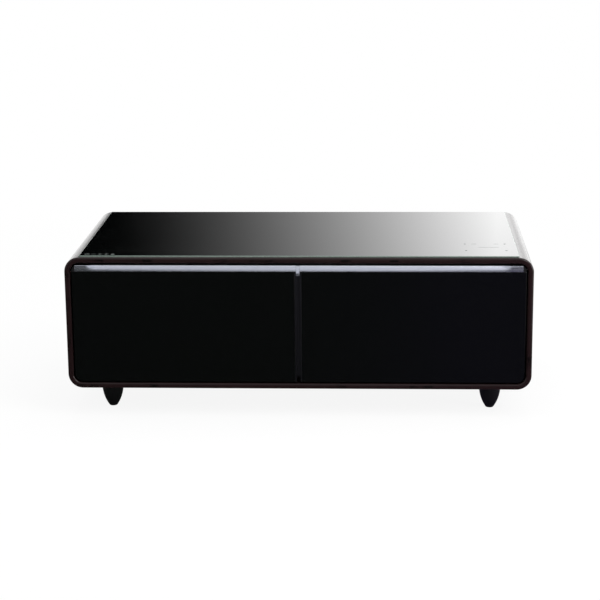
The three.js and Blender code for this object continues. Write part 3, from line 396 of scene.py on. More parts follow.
def merged(mesh):
    """Points that meet made one, and every face turned outwards."""
    shape = bmesh.new()
    shape.from_mesh(mesh)
    bmesh.ops.remove_doubles(shape, verts=shape.verts, dist=MERGE)
    bmesh.ops.recalc_face_normals(shape, faces=shape.faces)
    shape.to_mesh(mesh)
    shape.free()


def finish_piece(made, mesh, material, stands_for, body=None, sharp=32):
    """Its material, smooth shading with edges kept past an angle in degrees, large faces kept flat, the
    part that it stands for hidden, and a place under the empty of the body that it rides on."""
    mesh.materials.clear()
    mesh.materials.append(material)
    mesh.shade_smooth()
    mesh.set_sharp_from_angle(angle=radians(sharp))
    weights = made.modifiers.new("flat faces stay flat", "WEIGHTED_NORMAL")
    weights.keep_sharp = True
    bpy.context.collection.objects.link(made)
    if stands_for:
        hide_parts(stands_for)
    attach(made, body or body_of[stands_for])
    return made


def build(name, grids, material, stands_for=None, body=None, slot=None, sharp=32):
    """One piece from several grids, each given with whether it closes on itself."""
    points, faces = [], []
    for grid, closed in grids:
        faces += faces_of(*grid.shape[:2], sum(map(len, points)), closed)
        points.append(grid.reshape(-1, 3))
    mesh = bpy.data.meshes.new(name)
    mesh.from_pydata(np.concatenate(points), [], faces)
    merged(mesh)
    made = bpy.data.objects.new(name, mesh)
    finish_piece(made, mesh, material, stands_for, body, sharp)
    print(f"{name}: {len(mesh.polygons)} faces")
    return made


def paint(piece, material, chosen):
    """A second material on the faces that a test of their centres and normals chooses."""
    mesh = piece.data
    centres = np.empty(len(mesh.polygons) * 3, np.float32)
    normals = np.empty(len(mesh.polygons) * 3, np.float32)
    mesh.polygons.foreach_get("center", centres)
    mesh.polygons.foreach_get("normal", normals)
    mesh.materials.append(material)
    places = chosen(centres.reshape(-1, 3), normals.reshape(-1, 3)).astype(np.int32)
    mesh.polygons.foreach_set("material_index", places * (len(mesh.materials) - 1))


# %% [markdown]
# ## Profiles
#
# Two profiles serve most pieces. A plate's goes up one rounded edge and down the other. A vessel's
# starts in the middle of its floor, turns up through a fillet, goes over a round rim and comes back
# down outside. Both are rows of how far in from the outline, and how far along the line of sight.


# %% Profiles
def plate_profile(low, high, edge, steps=4):
    """Insets and places of a plate between two faces. An edge is a quarter circle: its inset is
    radius (1 - sin turn), and its place is radius (1 - cos turn) past the face."""
    turn = np.radians(np.linspace(0, 90, steps + 1))
    inset = edge * (1 - np.sin(turn))
    rise = edge * (1 - np.cos(turn))
    return np.concatenate([inset, inset[::-1]]), np.concatenate([low + rise, high - rise[::-1]])


def vessel_profile(floor, rim, wall, inner, outer, steps=6):
    """Insets and places of a vessel, from the middle of its inside to the middle of its outside. Its
    fillets are quarter circles and its rim is half a circle as wide as the wall. The rim may lie either
    way from the floor."""
    turn = np.radians(np.linspace(0, 90, steps + 1))
    over = np.radians(np.linspace(0, 180, 2 * steps + 1))
    height = abs(rim - floor)
    insets = [
        wall + inner * (1 - np.sin(turn)),
        wall / 2 * (1 + np.cos(over)),
        outer * (1 - np.cos(turn)),
    ]
    places = [
        wall + inner * (1 - np.cos(turn)),
        height - wall / 2 * (1 - np.sin(over)),
        outer * (1 - np.sin(turn)),
    ]
    return np.concatenate(insets), floor + np.sign(rim - floor) * np.concatenate(places)


def plate(name, low, high, radii, edge, view, material, stands_for=None, **more):
    """A plate that fills a box, with round corners and round edges, as seen from one side."""
    across, up, deep = AXES[view]
    inset, along = plate_profile(low[deep], high[deep], edge)
    flat = [across, up]
    grid = carried(rounded(low[flat], high[flat], radii, inset), along, view)
    return build(name, [(grid, False)], material, stands_for, **more)


print("profiles ready")

# %% [markdown]
# ## The shell
#
# The body is a tube: a round-cornered outline seen from the front, carried from front to back, with its
# front and back edges rounded over. Its top is routed out for the glass and, deeper, for the two boards
# that lie under it. The tube is one closed grid. Each edge of a recess is a pair of grid lines on one
# spot: the outer one stays up and the inner one drops to the recess's floor, so the wall between them
# is a strip of the same grid.

# %% The shell
WALL = 16 * MM
BEND = 41 * MM  # outside radius of the body's corners, seen from the front
NOSING = 6 * MM
HAIR = 0.01 * MM
shell_low, shell_high = ends("shell")
recesses = []
for let_in in ("glass_top", "touch_board", "wireless_charger"):
    low, high = ends(let_in)
    recesses.append((low[:2] - SEAT, high[:2] + SEAT, low[2] - SEAT))


def doubled(values):
    """Each value twice, and the side that each copy belongs to: a hair before it and a hair after."""
    return np.repeat(values, 2), np.tile([-HAIR, HAIR], len(values))


def shell_outline(steps=20):
    """The outline's corner centres, its outward directions, and where its columns count as lying across
    the top. A column at x on the top bends down past the flat: its direction's cosine is
    (x - centre) / radius."""
    flat = shell_high[0] - BEND
    arc = flat + BEND * np.cos(np.radians(np.linspace(0, 90, steps + 1)))
    edges, sides = doubled(np.array([[low[0], high[0]] for low, high, _ in recesses]).ravel())
    x = np.concatenate([arc, -arc, edges])
    mark = np.concatenate([arc, -arc, edges + sides])
    order = np.argsort(-mark, kind="stable")
    x, mark = x[order], mark[order]
    centre = np.clip(x, -flat, flat)
    cosine = np.clip((x - centre) / BEND, -1, 1)
    turn = np.radians(180 + np.array([[0], [90]]) + np.linspace(0, 90, steps + 1))
    low_centres = np.repeat([[-flat, shell_low[2] + BEND], [flat, shell_low[2] + BEND]], steps + 1, 0)
    low_outward = np.stack([np.cos(turn), np.sin(turn)], -1).reshape(-1, 2)
    top_centres = np.stack([centre, np.full_like(x, shell_high[2] - BEND)], -1)
    top_outward = np.stack([cosine, np.sqrt(1 - cosine**2)], -1)
    marks = np.concatenate([np.full(len(low_centres), np.inf), mark])
    return np.concatenate([low_centres, top_centres]), np.concatenate([low_outward, top_outward]), marks


def shell_rows(steps=8):
    """How far along Y and how far in each row lies, round the section of the wall, and where it counts
    as lying on the outside. The section is the outside, the back's nosing, the inside, and the front's
    nosing."""
    front, back = shell_low[1], shell_high[1]
    edges, sides = doubled(np.array([[low[1], high[1]] for low, high, _ in recesses]).ravel())
    order = np.argsort(edges + sides, kind="stable")
    outside = np.concatenate([[front + NOSING], edges[order], [back - NOSING]])
    marks = np.concatenate([[front + NOSING], (edges + sides)[order], [back - NOSING]])
    turn = np.radians(np.linspace(0, 90, steps + 1))
    bend_in = NOSING * (1 - np.cos(turn))
    bend_along = NOSING * (1 - np.sin(turn))
    nose_in = np.concatenate([bend_in, WALL - bend_in[::-1]])
    nose_along = np.concatenate([bend_along, bend_along[::-1]])
    y = np.concatenate([outside, back - nose_along[1:], front + nose_along[:0:-1]])
    inset = np.concatenate([0 * outside, nose_in[1:], nose_in[:0:-1]])
    hidden = np.full(len(y) - len(outside), np.inf)
    return y, inset, np.concatenate([marks, hidden])


centres, outward, mark_x = shell_outline()
row_y, row_inset, mark_y = shell_rows()
outline = centres + (BEND - row_inset[:, None, None]) * outward
shell_grid = carried(outline, row_y, "front")
for low, high, floor in recesses:
    in_x = (mark_x > low[0]) & (mark_x < high[0])
    in_y = (mark_y > low[1]) & (mark_y < high[1])
    shell_grid[np.ix_(in_y, in_x, [2])] = floor
build("shell_wrapped", [(shell_grid, True)], laminate, "shell")

# %% [markdown]
# ## The glass top
#
# A plate of glass 8 mm thick with its edges ground round and polished. Touch keys and the charging zone
# are printed on it in fired ink. The ink has a thickness, so here too it stands a tenth of a millimetre
# over the glass, and the plate's face is that much lower, which keeps the whole inside the table's
# height.

# %% The glass top
INK = 0.1 * MM
ARRIS = 1.8 * MM
TOP_CORNER = 4 * MM
LEVEL = 0.999  # the upward part of a normal, past which a face counts as level
top_low, top_high = ends("glass_top")
top_face = top_high - [0, 0, INK]
top = plate("glass_top_polished", top_low, top_face, TOP_CORNER, ARRIS, "top", glass_black, "glass_top")
# The faces that are not level take the edge colour, whose paleness is a painted highlight.
paint(top, edge_painted_highlight, lambda centre, normal: normal[:, 2] < LEVEL)

# %% [markdown]
# ## Marks printed on the glass
#
# The keys at the front left are plain signs that need no words: off and on, less, more, light and lock.
# The zone at the front right is four dots with dashes and a line between them, where a phone is laid to
# charge. Each sign is a flat shape a tenth of a millimetre thick: a ring is a closed grid with a thin
# section, and everything else is a small plate.


# %% Marks on the glass
def bar(x, y, width, height, corner=0.0):
    """A plate of ink about a point."""
    half = np.array([width, height]) / 2
    outline = rounded(np.array([x, y]) - half, np.array([x, y]) + half, corner, [0.0, 0.0], steps=4)
    return carried(outline, [top_face[2], top_high[2]], "top"), False


def ring(x, y, radius, stroke):
    """A ring of ink: its section is a thin oblong that runs up outside, in over the top and down."""
    section = [[radius, 0], [radius, INK], [radius - stroke, INK], [radius - stroke, 0]]
    return turned(section, (x, y, top_face[2]), axis=2, sides=32), True


STROKE = 1.6 * MM
KEY = 6.5 * MM  # half the size of a sign
KEY_PITCH = 18 * MM
RAY = 0.4 * KEY  # length of a ray of the light's sign
RAY_PLACE = 0.9 * KEY
KEY_ROW = 20 * MM  # from the touch board's front edge to the middle of the signs
board_low, board_high = ends("touch_board")
key_y = board_low[1] + KEY_ROW
key_x = (board_low[0] + board_high[0]) / 2 + KEY_PITCH * (np.arange(5) - 2)
power_x, less_x, more_x, light_x, lock_x = key_x
keys = [
    ring(power_x, key_y, KEY, STROKE),
    bar(power_x, key_y + 0.7 * KEY, STROKE, KEY),
    bar(less_x, key_y, 2 * KEY, STROKE, STROKE / 2),
    bar(more_x, key_y, 2 * KEY, STROKE, STROKE / 2),
    bar(more_x, key_y, STROKE, 2 * KEY, STROKE / 2),
    ring(light_x, key_y, 0.55 * KEY, STROKE),
    bar(light_x - RAY_PLACE, key_y, RAY, STROKE),
    bar(light_x + RAY_PLACE, key_y, RAY, STROKE),
    bar(light_x, key_y - RAY_PLACE, STROKE, RAY),
    bar(light_x, key_y + RAY_PLACE, STROKE, RAY),
    bar(lock_x, key_y - 0.35 * KEY, 1.5 * KEY, 1.2 * KEY, STROKE / 2),
    ring(lock_x, key_y + 0.35 * KEY, 0.5 * KEY, STROKE),
]
build("touch_marks", keys, ink_fired, body="cabinet", slot="circuit_board")

DOT = 6.5 * MM
DASH = 14 * MM
DASH_PLACE = 31 * MM  # from the zone's middle, to either side
LINE = 56 * MM
LINE_PLACE = 9 * MM  # from the zone's middle, to the right
zone_low, zone_high = ends("wireless_charger")
zone_x, zone_y, _ = (zone_low + zone_high) / 2
sides_x = (zone_low[0], zone_high[0])
sides_y = (zone_low[1], zone_high[1])
zone = [bar(x, y, DOT, DOT, DOT / 2) for x in sides_x for y in sides_y]
zone += [bar(zone_x + way * DASH_PLACE, zone_high[1], DASH, STROKE) for way in (-1, 1)]
zone.append(bar(zone_x + LINE_PLACE, zone_y, LINE, STROKE))
build("charging_marks", zone, ink_fired, body="cabinet", slot="circuit_board")

# %% [markdown]
# ## The drawer fronts
#
# Each front is a plastic tray filled with foam, with a plate of black glass over its face. The glass
# follows the shell at its outer lower corner, where its radius is the shell's less the wall and the
# gap. A dark anodised strip trims the tray's inner side, and shows as a fine line beside the strip
# between the drawers.

# %% The drawer fronts
DOOR_GAP = 4 * MM
DOOR_EDGE = 0.9 * MM
DOOR_WALL = 3 * MM
DOOR_CORNER = 1 * MM
TRIM = 3.9 * MM
TRIM_EDGE = 0.4 * MM
door_bend = BEND - WALL - DOOR_GAP
for side, sign in (("left", -1), ("right", 1)):
    radii = np.full(4, DOOR_CORNER)
    radii[1 if sign > 0 else 0] = door_bend
    glass = side + "_door_glass"
    low, high = ends(glass)
    plate(glass + "_polished", low, high, radii, DOOR_EDGE, "front", glass_black, glass)

    pan_low, pan_high = ends(side + "_door_pan")
    inset, along = vessel_profile(pan_high[1], high[1] + SEAT, DOOR_WALL, DOOR_CORNER, DOOR_WALL)
    tray = carried(rounded(pan_low[[0, 2]], pan_high[[0, 2]], radii, inset), along, "front")
    build(side + "_door_pan_moulded", [(tray, False)], abs_black, side + "_door_pan")

    trim_low = pan_low.copy()
    trim_high = np.array([pan_high[0], high[1], pan_high[2]])
    if sign > 0:
        trim_high[0] = pan_low[0] + TRIM
    else:
        trim_low[0] = pan_high[0] - TRIM
    home = {"body": side + "_drawer", "slot": "dark_trim"}
    plate(side + "_door_trim", trim_low, trim_high, TRIM_EDGE, TRIM_EDGE, "front", aluminium_black, **home)

# %% [markdown]
# ## The grips
#
# Along the top of each front runs an extrusion: a face that leans back as it rises, a crest to hook the
# fingers over, and a groove behind it. It is a section carried along X. The face is an arc, upright at
# the glass and leaning by 36 degrees at the crest, so it mirrors the dark ground at its foot and the
# bright room above. Towards its outer end the lean is milled off to almost nothing, and the upright
# face left there goes dark. A moulded cap with the same section closes that end, and follows the round
# corner of the shell. The cap on the strip between the drawers has the same leaning face, over an
# upright foot.

# %% The grips
LEAN = 36  # degrees, at the crest
END_LEAN = 5  # degrees, at the milled end
END_LENGTH = 30 * MM
END_BLEND = 30 * MM  # length over which the one lean turns into the other
END_CAP = 9 * MM
CREST_BACK = 12 * MM
CREST_EDGE = 1 * MM
GROOVE_BEND = 5.25 * MM
GROOVE_DEPTH = 10.5 * MM
WING = 3 * MM
WING_HEIGHT = 8 * MM
CAP_FOOT = 4 * MM


def arc(y, z, radius, start, stop, steps):
    """Points of an arc about a centre, between two angles in degrees."""
    turn = np.radians(np.linspace(start, stop, steps + 1))
    return np.stack([y + radius * np.cos(turn), z + radius * np.sin(turn)], -1)


def slope(foot, floor, roof, leans, steps=10):
    """A face that leans back from its foot, with a round edge at the crest, for each lean in degrees.
    The face is an arc of radius R = height / sin lean:
    y = foot + R (1 - cos turn), z = floor + R sin turn.
    The edge is an arc whose centre lies inside the face's end by its radius."""
    lean = np.radians(np.asarray(leans, float))[:, None]
    top = roof - floor - CREST_EDGE * (1 - np.sin(lean))
    radius = top / np.sin(lean)
    turn = lean * np.linspace(0, 1, steps + 1)
    face = np.stack([radius * (1 - np.cos(turn)), radius * np.sin(turn)], -1)
    over = np.pi - lean - (np.pi / 2 - lean) * np.linspace(0, 1, 5)[1:]
    end = face[:, -1:] + CREST_EDGE * np.stack([np.cos(lean), -np.sin(lean)], -1)
    edge = end + CREST_EDGE * np.stack([np.cos(over), np.sin(over)], -1)
    return np.concatenate([face, edge], 1) + [foot, floor]


def with_tail(front, tail):
    """The same tail of points added to every row of a front."""
    return np.concatenate([front, np.broadcast_to(tail, (len(front), *tail.shape))], 1)


for side, sign in (("left", -1), ("right", 1)):
    low, high = ends(side + "_grip")
    inner, outer = np.sort(np.abs([low[0], high[0]]))
    cap_start = outer - END_CAP
    length = cap_start - inner
    share = np.concatenate([[0, 0.5], 1 - np.linspace(END_LENGTH + END_BLEND, 0, 30) / length])
    fade = np.clip((share * length - length + END_LENGTH + END_BLEND) / END_BLEND, 0, 1)
    leans = LEAN + (END_LEAN - LEAN) * fade**2 * (3 - 2 * fade)
    crest_back = low[1] + CREST_BACK
    wing_front = high[1] - WING
    wing_roof = low[2] + WING_HEIGHT
    groove_z = high[2] - GROOVE_DEPTH + GROOVE_BEND
    dip = np.degrees(np.arcsin((groove_z - wing_roof) / GROOVE_BEND))
    tail = np.concatenate(
        [
            arc(crest_back - CREST_EDGE, high[2] - CREST_EDGE, CREST_EDGE, 90, 0, 4),
            arc(crest_back + GROOVE_BEND, groove_z, GROOVE_BEND, 180, 270, 6),
            arc(wing_front - GROOVE_BEND, groove_z, GROOVE_BEND, 270, 360 - dip, 6),
            [[high[1], wing_roof], [high[1], low[2]]],
        ]
    )
    section = with_tail(slope(low[1], low[2], high[2], leans), tail)
    corner_x = shell_high[0] - BEND
    corner_z = shell_high[2] - BEND
    end_x = corner_x + np.sqrt(np.maximum(door_bend**2 - (section[..., 1] - corner_z) ** 2, 0))
    grip_grid = carried(section, np.zeros(len(share)), "side")
    grip_grid[..., 0] = sign * np.minimum(inner + share[:, None] * length, end_x)
    build(side + "_grip_extruded", [(grip_grid, False)], aluminium_satin, side + "_grip")
    cap_grid = carried(section[-2:], np.zeros(2), "side")
    cap_grid[..., 0] = sign * np.maximum(end_x[-2:], cap_start)
    cap_grid[0, :, 0] = np.minimum(np.abs(cap_grid[0, :, 0]), cap_start) * sign
    home = {"body": body_of[side + "_grip"], "slot": "black_plastic"}
    build(side + "_grip_end_cap", [(cap_grid, False)], abs_black, **home)

cap_low, cap_high = ends("centre_cap")
cap_front = slope(cap_low[1], cap_low[2] + CAP_FOOT, cap_high[2], [LEAN, LEAN])
cap_tail = np.array([[cap_high[1], cap_high[2]], [cap_high[1], cap_low[2]], [cap_low[1], cap_low[2]]])
cap_grid = carried(with_tail(cap_front, cap_tail), [cap_low[0], cap_high[0]], "side")
build("centre_cap_milled", [(cap_grid, False)], aluminium_satin, "centre_cap")

STRIP_EDGE = 0.8 * MM
strip_name = "centre_strip_milled"
strip_ends = ends("centre_strip")
plate(strip_name, *strip_ends, STRIP_EDGE, STRIP_EDGE, "front", aluminium_black, "centre_strip")

# %% [markdown]
# ## The feet
#
# Each foot is a bullet of black plastic, turned on the axis of its stud. Its radius swells fast from
# the tip and then hardly at all: radius = tip + (top - tip) (1 - (1 - h) to the power 2.7), where h is
# the height as a share. The tip's edge is broken by a small round so that it catches a line of light.

# %% The feet
FOOT_TIP = 10.5 * MM
FOOT_TOP = 31 * MM
FOOT_POWER = 2.7
TIP_ROUND = 2 * MM
foot_roof = shell_low[2] - SEAT
share = np.concatenate([np.linspace(0, TIP_ROUND / foot_roof, 7), np.linspace(0.05, 1, 28)])
swell = FOOT_TIP + (FOOT_TOP - FOOT_TIP) * (1 - (1 - share) ** FOOT_POWER)
lift = np.clip(1 - share * foot_roof / TIP_ROUND, 0, 1)
foot_profile = np.stack([swell - TIP_ROUND * (1 - np.sqrt(1 - lift**2)), share * foot_roof], -1)
for place in ("front_left", "front_right", "rear_left", "rear_right"):
    low, high = ends("foot_" + place)
    middle = (low + high) / 2
    grid = turned(foot_profile, (middle[0], middle[1], low[2]), axis=2, sides=96)
    build("foot_" + place + "_moulded", [(grid, False)], abs_black, "foot_" + place)

# %% [markdown]
# ## Bins, dividers, liners and gaskets
#
# These are the pieces that come into sight when a drawer opens. A bin is an injected box with generous
# corners and a round rim. The liner is a sheet drawn into a box that opens to the front. The gasket is
# a soft hollow profile that runs round the back of the front and closes on the steel frame: it is the
# outline of the opening with a small pinched profile carried round it.

# %% Inside the drawers
BIN_WALL = 3 * MM
BIN_BEND = 14 * MM
BIN_FILLET = 8 * MM
DIVIDER_CORNER = 12 * MM
DIVIDER_EDGE = 1 * MM
LINER_BEND = 19 * MM
LINER_FILLET = 12 * MM
GASKET_WIDTH = 12 * MM
GASKET_BEND = 33 * MM
GASKET_ROUND = 3 * MM
GASKET_PINCH = 0.3
for side in ("left", "right"):
    low, high = ends(side + "_bin")
    inset, along = vessel_profile(low[2], high[2], BIN_WALL, BIN_FILLET, BIN_WALL)
    grid = carried(rounded(low[:2], high[:2], BIN_BEND, inset), along, "top")
    build(side + "_bin_moulded", [(grid, False)], abs_white, side + "_bin")

    divider = side + "_divider"
    low, high = ends(divider)
    plate(divider + "_moulded", low, high, DIVIDER_CORNER, DIVIDER_EDGE, "side", abs_white, divider)

    low, high = ends(side + "_liner")
    inset, along = vessel_profile(high[1], low[1], BIN_WALL, LINER_FILLET, BIN_WALL)
    grid = carried(rounded(low[[0, 2]], high[[0, 2]], LINER_BEND, inset), along, "front")
    build(side + "_liner_formed", [(grid, False)], styrene_white, side + "_liner")

    low, high = ends(side + "_gasket")
    near, far = np.array([0, low[1]]), np.array([GASKET_WIDTH, high[1]])
    profile = rounded(near, far, GASKET_ROUND, steps=5)[0]
    share = (profile[:, 1] - low[1]) / (high[1] - low[1])
    pinch = 1 - GASKET_PINCH * np.sin(np.pi * share) ** 4
    across = GASKET_WIDTH / 2 + (profile[:, 0] - GASKET_WIDTH / 2) * pinch
    grid = carried(rounded(low[[0, 2]], high[[0, 2]], GASKET_BEND, across), profile[:, 1], "front")
    build(side + "_gasket_extruded", [(grid, True)], pvc_soft, side + "_gasket")

# %% [markdown]
# ## Sheets with holes
#
# The rear panel and the steel frame behind the fronts are sheets with many holes. A grid is a poor way
# to cut holes, so these are made from flat curves: the outline and each hole is a closed line, Blender
# fills what lies between them, and a small bevel gives every edge the roll that a punch leaves. The
# result is made a mesh and stood upright.


# %% A sheet cut with holes
def cut_sheet(name, lines, front, back, roll, material, stands_for):
    """A sheet between two places along Y, bounded by closed lines of X and Z, its edges rolled over."""
    drawing = bpy.data.curves.new(name + "_drawing", "CURVE")
    drawing.dimensions = "2D"
    drawing.fill_mode = "BOTH"
    drawing.extrude = (back - front) / 2 - roll
    drawing.bevel_depth = roll
    drawing.bevel_resolution = 1
    drawing.offset = -roll
    for line in lines:
        spline = drawing.splines.new("POLY")
        spline.points.add(len(line) - 1)
        spline.points.foreach_set("co", np.pad(line, ((0, 0), (0, 2)), constant_values=0).ravel())
        spline.use_cyclic_u = True
    drawn = bpy.data.objects.new(name + "_drawing", drawing)
    bpy.context.collection.objects.link(drawn)
    view = bpy.context.evaluated_depsgraph_get()
    mesh = bpy.data.meshes.new_from_object(drawn.evaluated_get(view))
    bpy.data.objects.remove(drawn)
    flat = np.empty(len(mesh.vertices) * 3, np.float32)
    mesh.vertices.foreach_get("co", flat)
    x, z, depth = flat.reshape(-1, 3).T
    mesh.vertices.foreach_set("co", np.stack([x, (front + back) / 2 + depth, z], -1).ravel())
    merged(mesh)
    made = bpy.data.objects.new(name, mesh)
    finish_piece(made, mesh, material, stands_for)
    print(f"{name}: {len(mesh.polygons)} faces, {len(lines) - 1} holes")
    return made


def circle(x, z, radius, sides=64):
    """Points of a circle."""
    turn = np.linspace(0, 2 * np.pi, sides, endpoint=False)
    return np.stack([x + radius * np.cos(turn), z + radius * np.sin(turn)], -1)


def opening(node, margin, radius):
    """The outline of a node seen from the front, let out by a margin."""
    low, high = ends(node)
    return rounded(low[[0, 2]] - margin, high[[0, 2]] + margin, radius)[0]


# %% [markdown]
# ## The back of the table
#
# The rear panel is coated sheet steel. Two fields of slots let the machine room breathe, one behind the
# compressor and one behind the condenser. Loudspeakers fill the corners, and a mains inlet with a
# rocker and a plate of charging ports sit low on the right. Screws with round heads hold the panel, and
# smaller ones hold each fitting.

# %% The rear panel and the front frame
VENT_HEIGHT = 7 * MM
VENT_PITCH = 18 * MM
VENT_FIELDS = np.array([[-382, 150], [0, 210]]) * MM  # middle and width of each field
VENT_MARGIN = 46 * MM
SPEAKER_HOLE = 40 * MM  # radius
INLET_BODY = np.array([54, 26]) * MM
USB_BODY = np.array([48, 20]) * MM
FITTING_CORNER = 1 * MM
PANEL_ROLL = 0.5 * MM
FRAME_ROLL = 0.3 * MM
panel_low, panel_high = ends("rear_panel")
room_middle = (shell_low[2] + shell_high[2]) / 2
vent_count = int((shell_high[2] - shell_low[2] - 2 * WALL - 2 * VENT_MARGIN) / VENT_PITCH)
vent_z = room_middle + VENT_PITCH * (np.arange(vent_count) - (vent_count - 1) / 2)


def hole(x, z, width, height, radius):
    """The outline of a hole with round corners about a point."""
    half = np.array([width, height]) / 2
    return rounded(np.array([x, z]) - half, np.array([x, z]) + half, radius, steps=6)[0]


lines = [opening("rear_panel", 0, BEND - WALL - SEAT)]
lines += [hole(x, z, width, VENT_HEIGHT, VENT_HEIGHT / 2) for x, width in VENT_FIELDS for z in vent_z]
for node, size in (("mains_inlet", INLET_BODY), ("usb_panel", USB_BODY)):
    x, _, z = ends(node).mean(0)
    lines.append(hole(x, z, *(size + 2 * SEAT), FITTING_CORNER))
for node in ("left_speaker", "right_speaker"):
    x, _, z = ends(node).mean(0)
    lines.append(circle(x, z, SPEAKER_HOLE))
panel_y = (panel_low[1], panel_high[1])
cut_sheet("rear_panel_punched", lines, *panel_y, PANEL_ROLL, steel_coated, "rear_panel")

frame_y = ends("front_frame")[:, 1]
lines = [opening("front_frame", 0, BEND - WALL - SEAT)]
lines += [opening(side + "_liner", SEAT, LINER_BEND + SEAT) for side in ("left", "right")]
cut_sheet("front_frame_punched", lines, *frame_y, FRAME_ROLL, steel_coated, "front_frame")

# %% [markdown]
# ## Loudspeakers and screws
#
# A loudspeaker is a turned shape: a moulded basket with a flat flange, a half-round rubber surround, a
# cone that falls to the middle, and a dust cap. A screw head is a shallow dome with a cross pressed
# into it: the dome's height falls with the square of the radius, and the cross is a narrow bell along
# each arm, taken away from it.


# %% Loudspeakers and screws
SCREW_SINK = 0.05 * MM  # how far a head's foot goes into the sheet
DOME_FALL = 0.7  # how far a head falls off to its rim, as a share of its height
CROSS_DEPTH = 0.45  # as a share of the head's height
CROSS_WIDTH = 0.16  # as a share of the head's radius
CROSS_REACH = 0.75  # as a share of the head's radius


def screw_heads(places, radius, height, sides=24, rings=9):
    """Domes with a pressed cross that face the back, one grid for each place. With r and the distance d
    from the nearer arm as shares of the radius, the height over the sheet is
    full height (1 - fall r r - depth e to the power of minus (d / width) squared)."""
    grids = []
    r = np.linspace(1, 0, rings)[:, None]
    turn = np.linspace(0, 2 * np.pi, sides, endpoint=False)
    u, v = r * np.cos(turn), r * np.sin(turn)
    arms = np.maximum(np.exp(-((u / CROSS_WIDTH) ** 2)), np.exp(-((v / CROSS_WIDTH) ** 2)))
    rise = height * (1 - DOME_FALL * r**2 - CROSS_DEPTH * arms * (r < CROSS_REACH))
    for x, y, z in places:
        grid = np.stack([x + radius * u, y + rise, z + radius * v], -1)
        base = np.stack([x + radius * u[:1], np.full_like(u[:1], y), z + radius * v[:1]], -1)
        grids.append((np.concatenate([base, grid]), False))
    return grids


# The magnet's radius and height, and the basket's height, over the panel's face.
MAGNET = np.array([[0, -35], [22, -35], [22, -23]]) * MM
BASKET_BACK = -3.3 * MM
FLANGE_EDGE = 0.4 * MM
# The surround, and how far under the flange's face it starts.
SURROUND_RADIUS = 3.5 * MM
SURROUND_RISE = 1.8 * MM
SURROUND_SINK = 2 * MM
# The cone's rim, inwards of the hole's, and its middle's radius, each below the flange's face.
CONE_RIM_INSET = 8 * MM
CONE_RIM_DEPTH = 2.4 * MM
CONE_MIDDLE = np.array([13.5, -11.5]) * MM
# The dust cap, and how far under the flange's face it starts.
DUST_CAP_RADIUS = 13 * MM
DUST_CAP_DEPTH = 12 * MM
DUST_CAP_RISE = 4.5 * MM
PAPER_INSET = 0.2 * MM  # from the hole's rim to where the paper and rubber start
SCREW_CIRCLE = 43.3 * MM  # radius


def speaker_profile(rim, flange, face):
    """Radius and height from the magnet's middle round the flange, over the surround and down the cone
    to the dust cap. The surround is a half ellipse over its sink and the cap a quarter of one."""
    over = np.radians(np.linspace(0, 180, 9))
    dome = np.radians(np.linspace(0, 90, 7))
    surround_radius = rim - SURROUND_RADIUS * (1 - np.cos(over))
    surround_height = face - SURROUND_SINK + SURROUND_RISE * np.sin(over)
    cap_height = face - DUST_CAP_DEPTH + DUST_CAP_RISE * np.sin(dome)
    return np.concatenate(
        [
            MAGNET,
            [[rim, BASKET_BACK], [rim, SEAT], [flange, SEAT]],
            [[flange, face - FLANGE_EDGE], [flange - FLANGE_EDGE, face], [rim, face]],
            np.stack([surround_radius, surround_height], -1),
            [[rim - CONE_RIM_INSET, face - CONE_RIM_DEPTH], [0, face] + CONE_MIDDLE],
            np.stack([DUST_CAP_RADIUS * np.cos(dome), cap_height], -1),
        ]
    )


for side in ("left", "right"):
    low, high = ends(side + "_speaker")
    x, _, z = (low + high) / 2
    rim = SPEAKER_HOLE - SEAT
    profile = speaker_profile(rim, high[0] - x, high[1] - panel_high[1])
    grid = turned(profile, (x, panel_high[1], z), axis=1)
    speaker = build(side + "_speaker_assembled", [(grid, False)], abs_black, side + "_speaker")
    paper = rim - PAPER_INSET
    paint(speaker, cone_paper, lambda centre, _: np.hypot(centre[:, 0] - x, centre[:, 2] - z) < paper)
    diagonals = circle(x, z, SCREW_CIRCLE, 8)[1::2]
    places = [(screw_x, high[1] - SCREW_SINK, screw_z) for screw_x, screw_z in diagonals]
    heads = screw_heads(places, 2.2 * MM, 1 * MM)
    build(side + "_speaker_screws", heads, steel_galvanised, body="cabinet", slot="steel", sharp=50)

PANEL_SCREW_INSET = 9 * MM
PANEL_SCREW_PITCH = 220 * MM
SIDE_SCREW_INSET = 100 * MM
edge_x = PANEL_SCREW_PITCH * np.arange(-2, 3)
edge_z = (panel_low[2] + PANEL_SCREW_INSET, panel_high[2] - PANEL_SCREW_INSET)
side_x = panel_high[0] - PANEL_SCREW_INSET
side_z = (panel_low[2] + SIDE_SCREW_INSET, panel_high[2] - SIDE_SCREW_INSET)
places = [(x, z) for x in edge_x for z in edge_z]
places += [(x, z) for x in (-side_x, side_x) for z in side_z]
heads = screw_heads([(x, panel_high[1] - SCREW_SINK, z) for x, z in places], 3.4 * MM, 1.6 * MM)
build("rear_panel_screws", heads, steel_galvanised, body="cabinet", slot="steel", sharp=50)

# %% [markdown]
# ## Pieces whose shape is already right
#
# The slides, the fan covers, the fittings and the machines have their true shape in the frame, and only
# lack the small rounds that a press or a mould leaves on every edge. A copy of each is merged, its flat
# faces are made whole, and a Bevel modifier breaks its edges. A thin bright line along each edge is
# what makes a part look made.


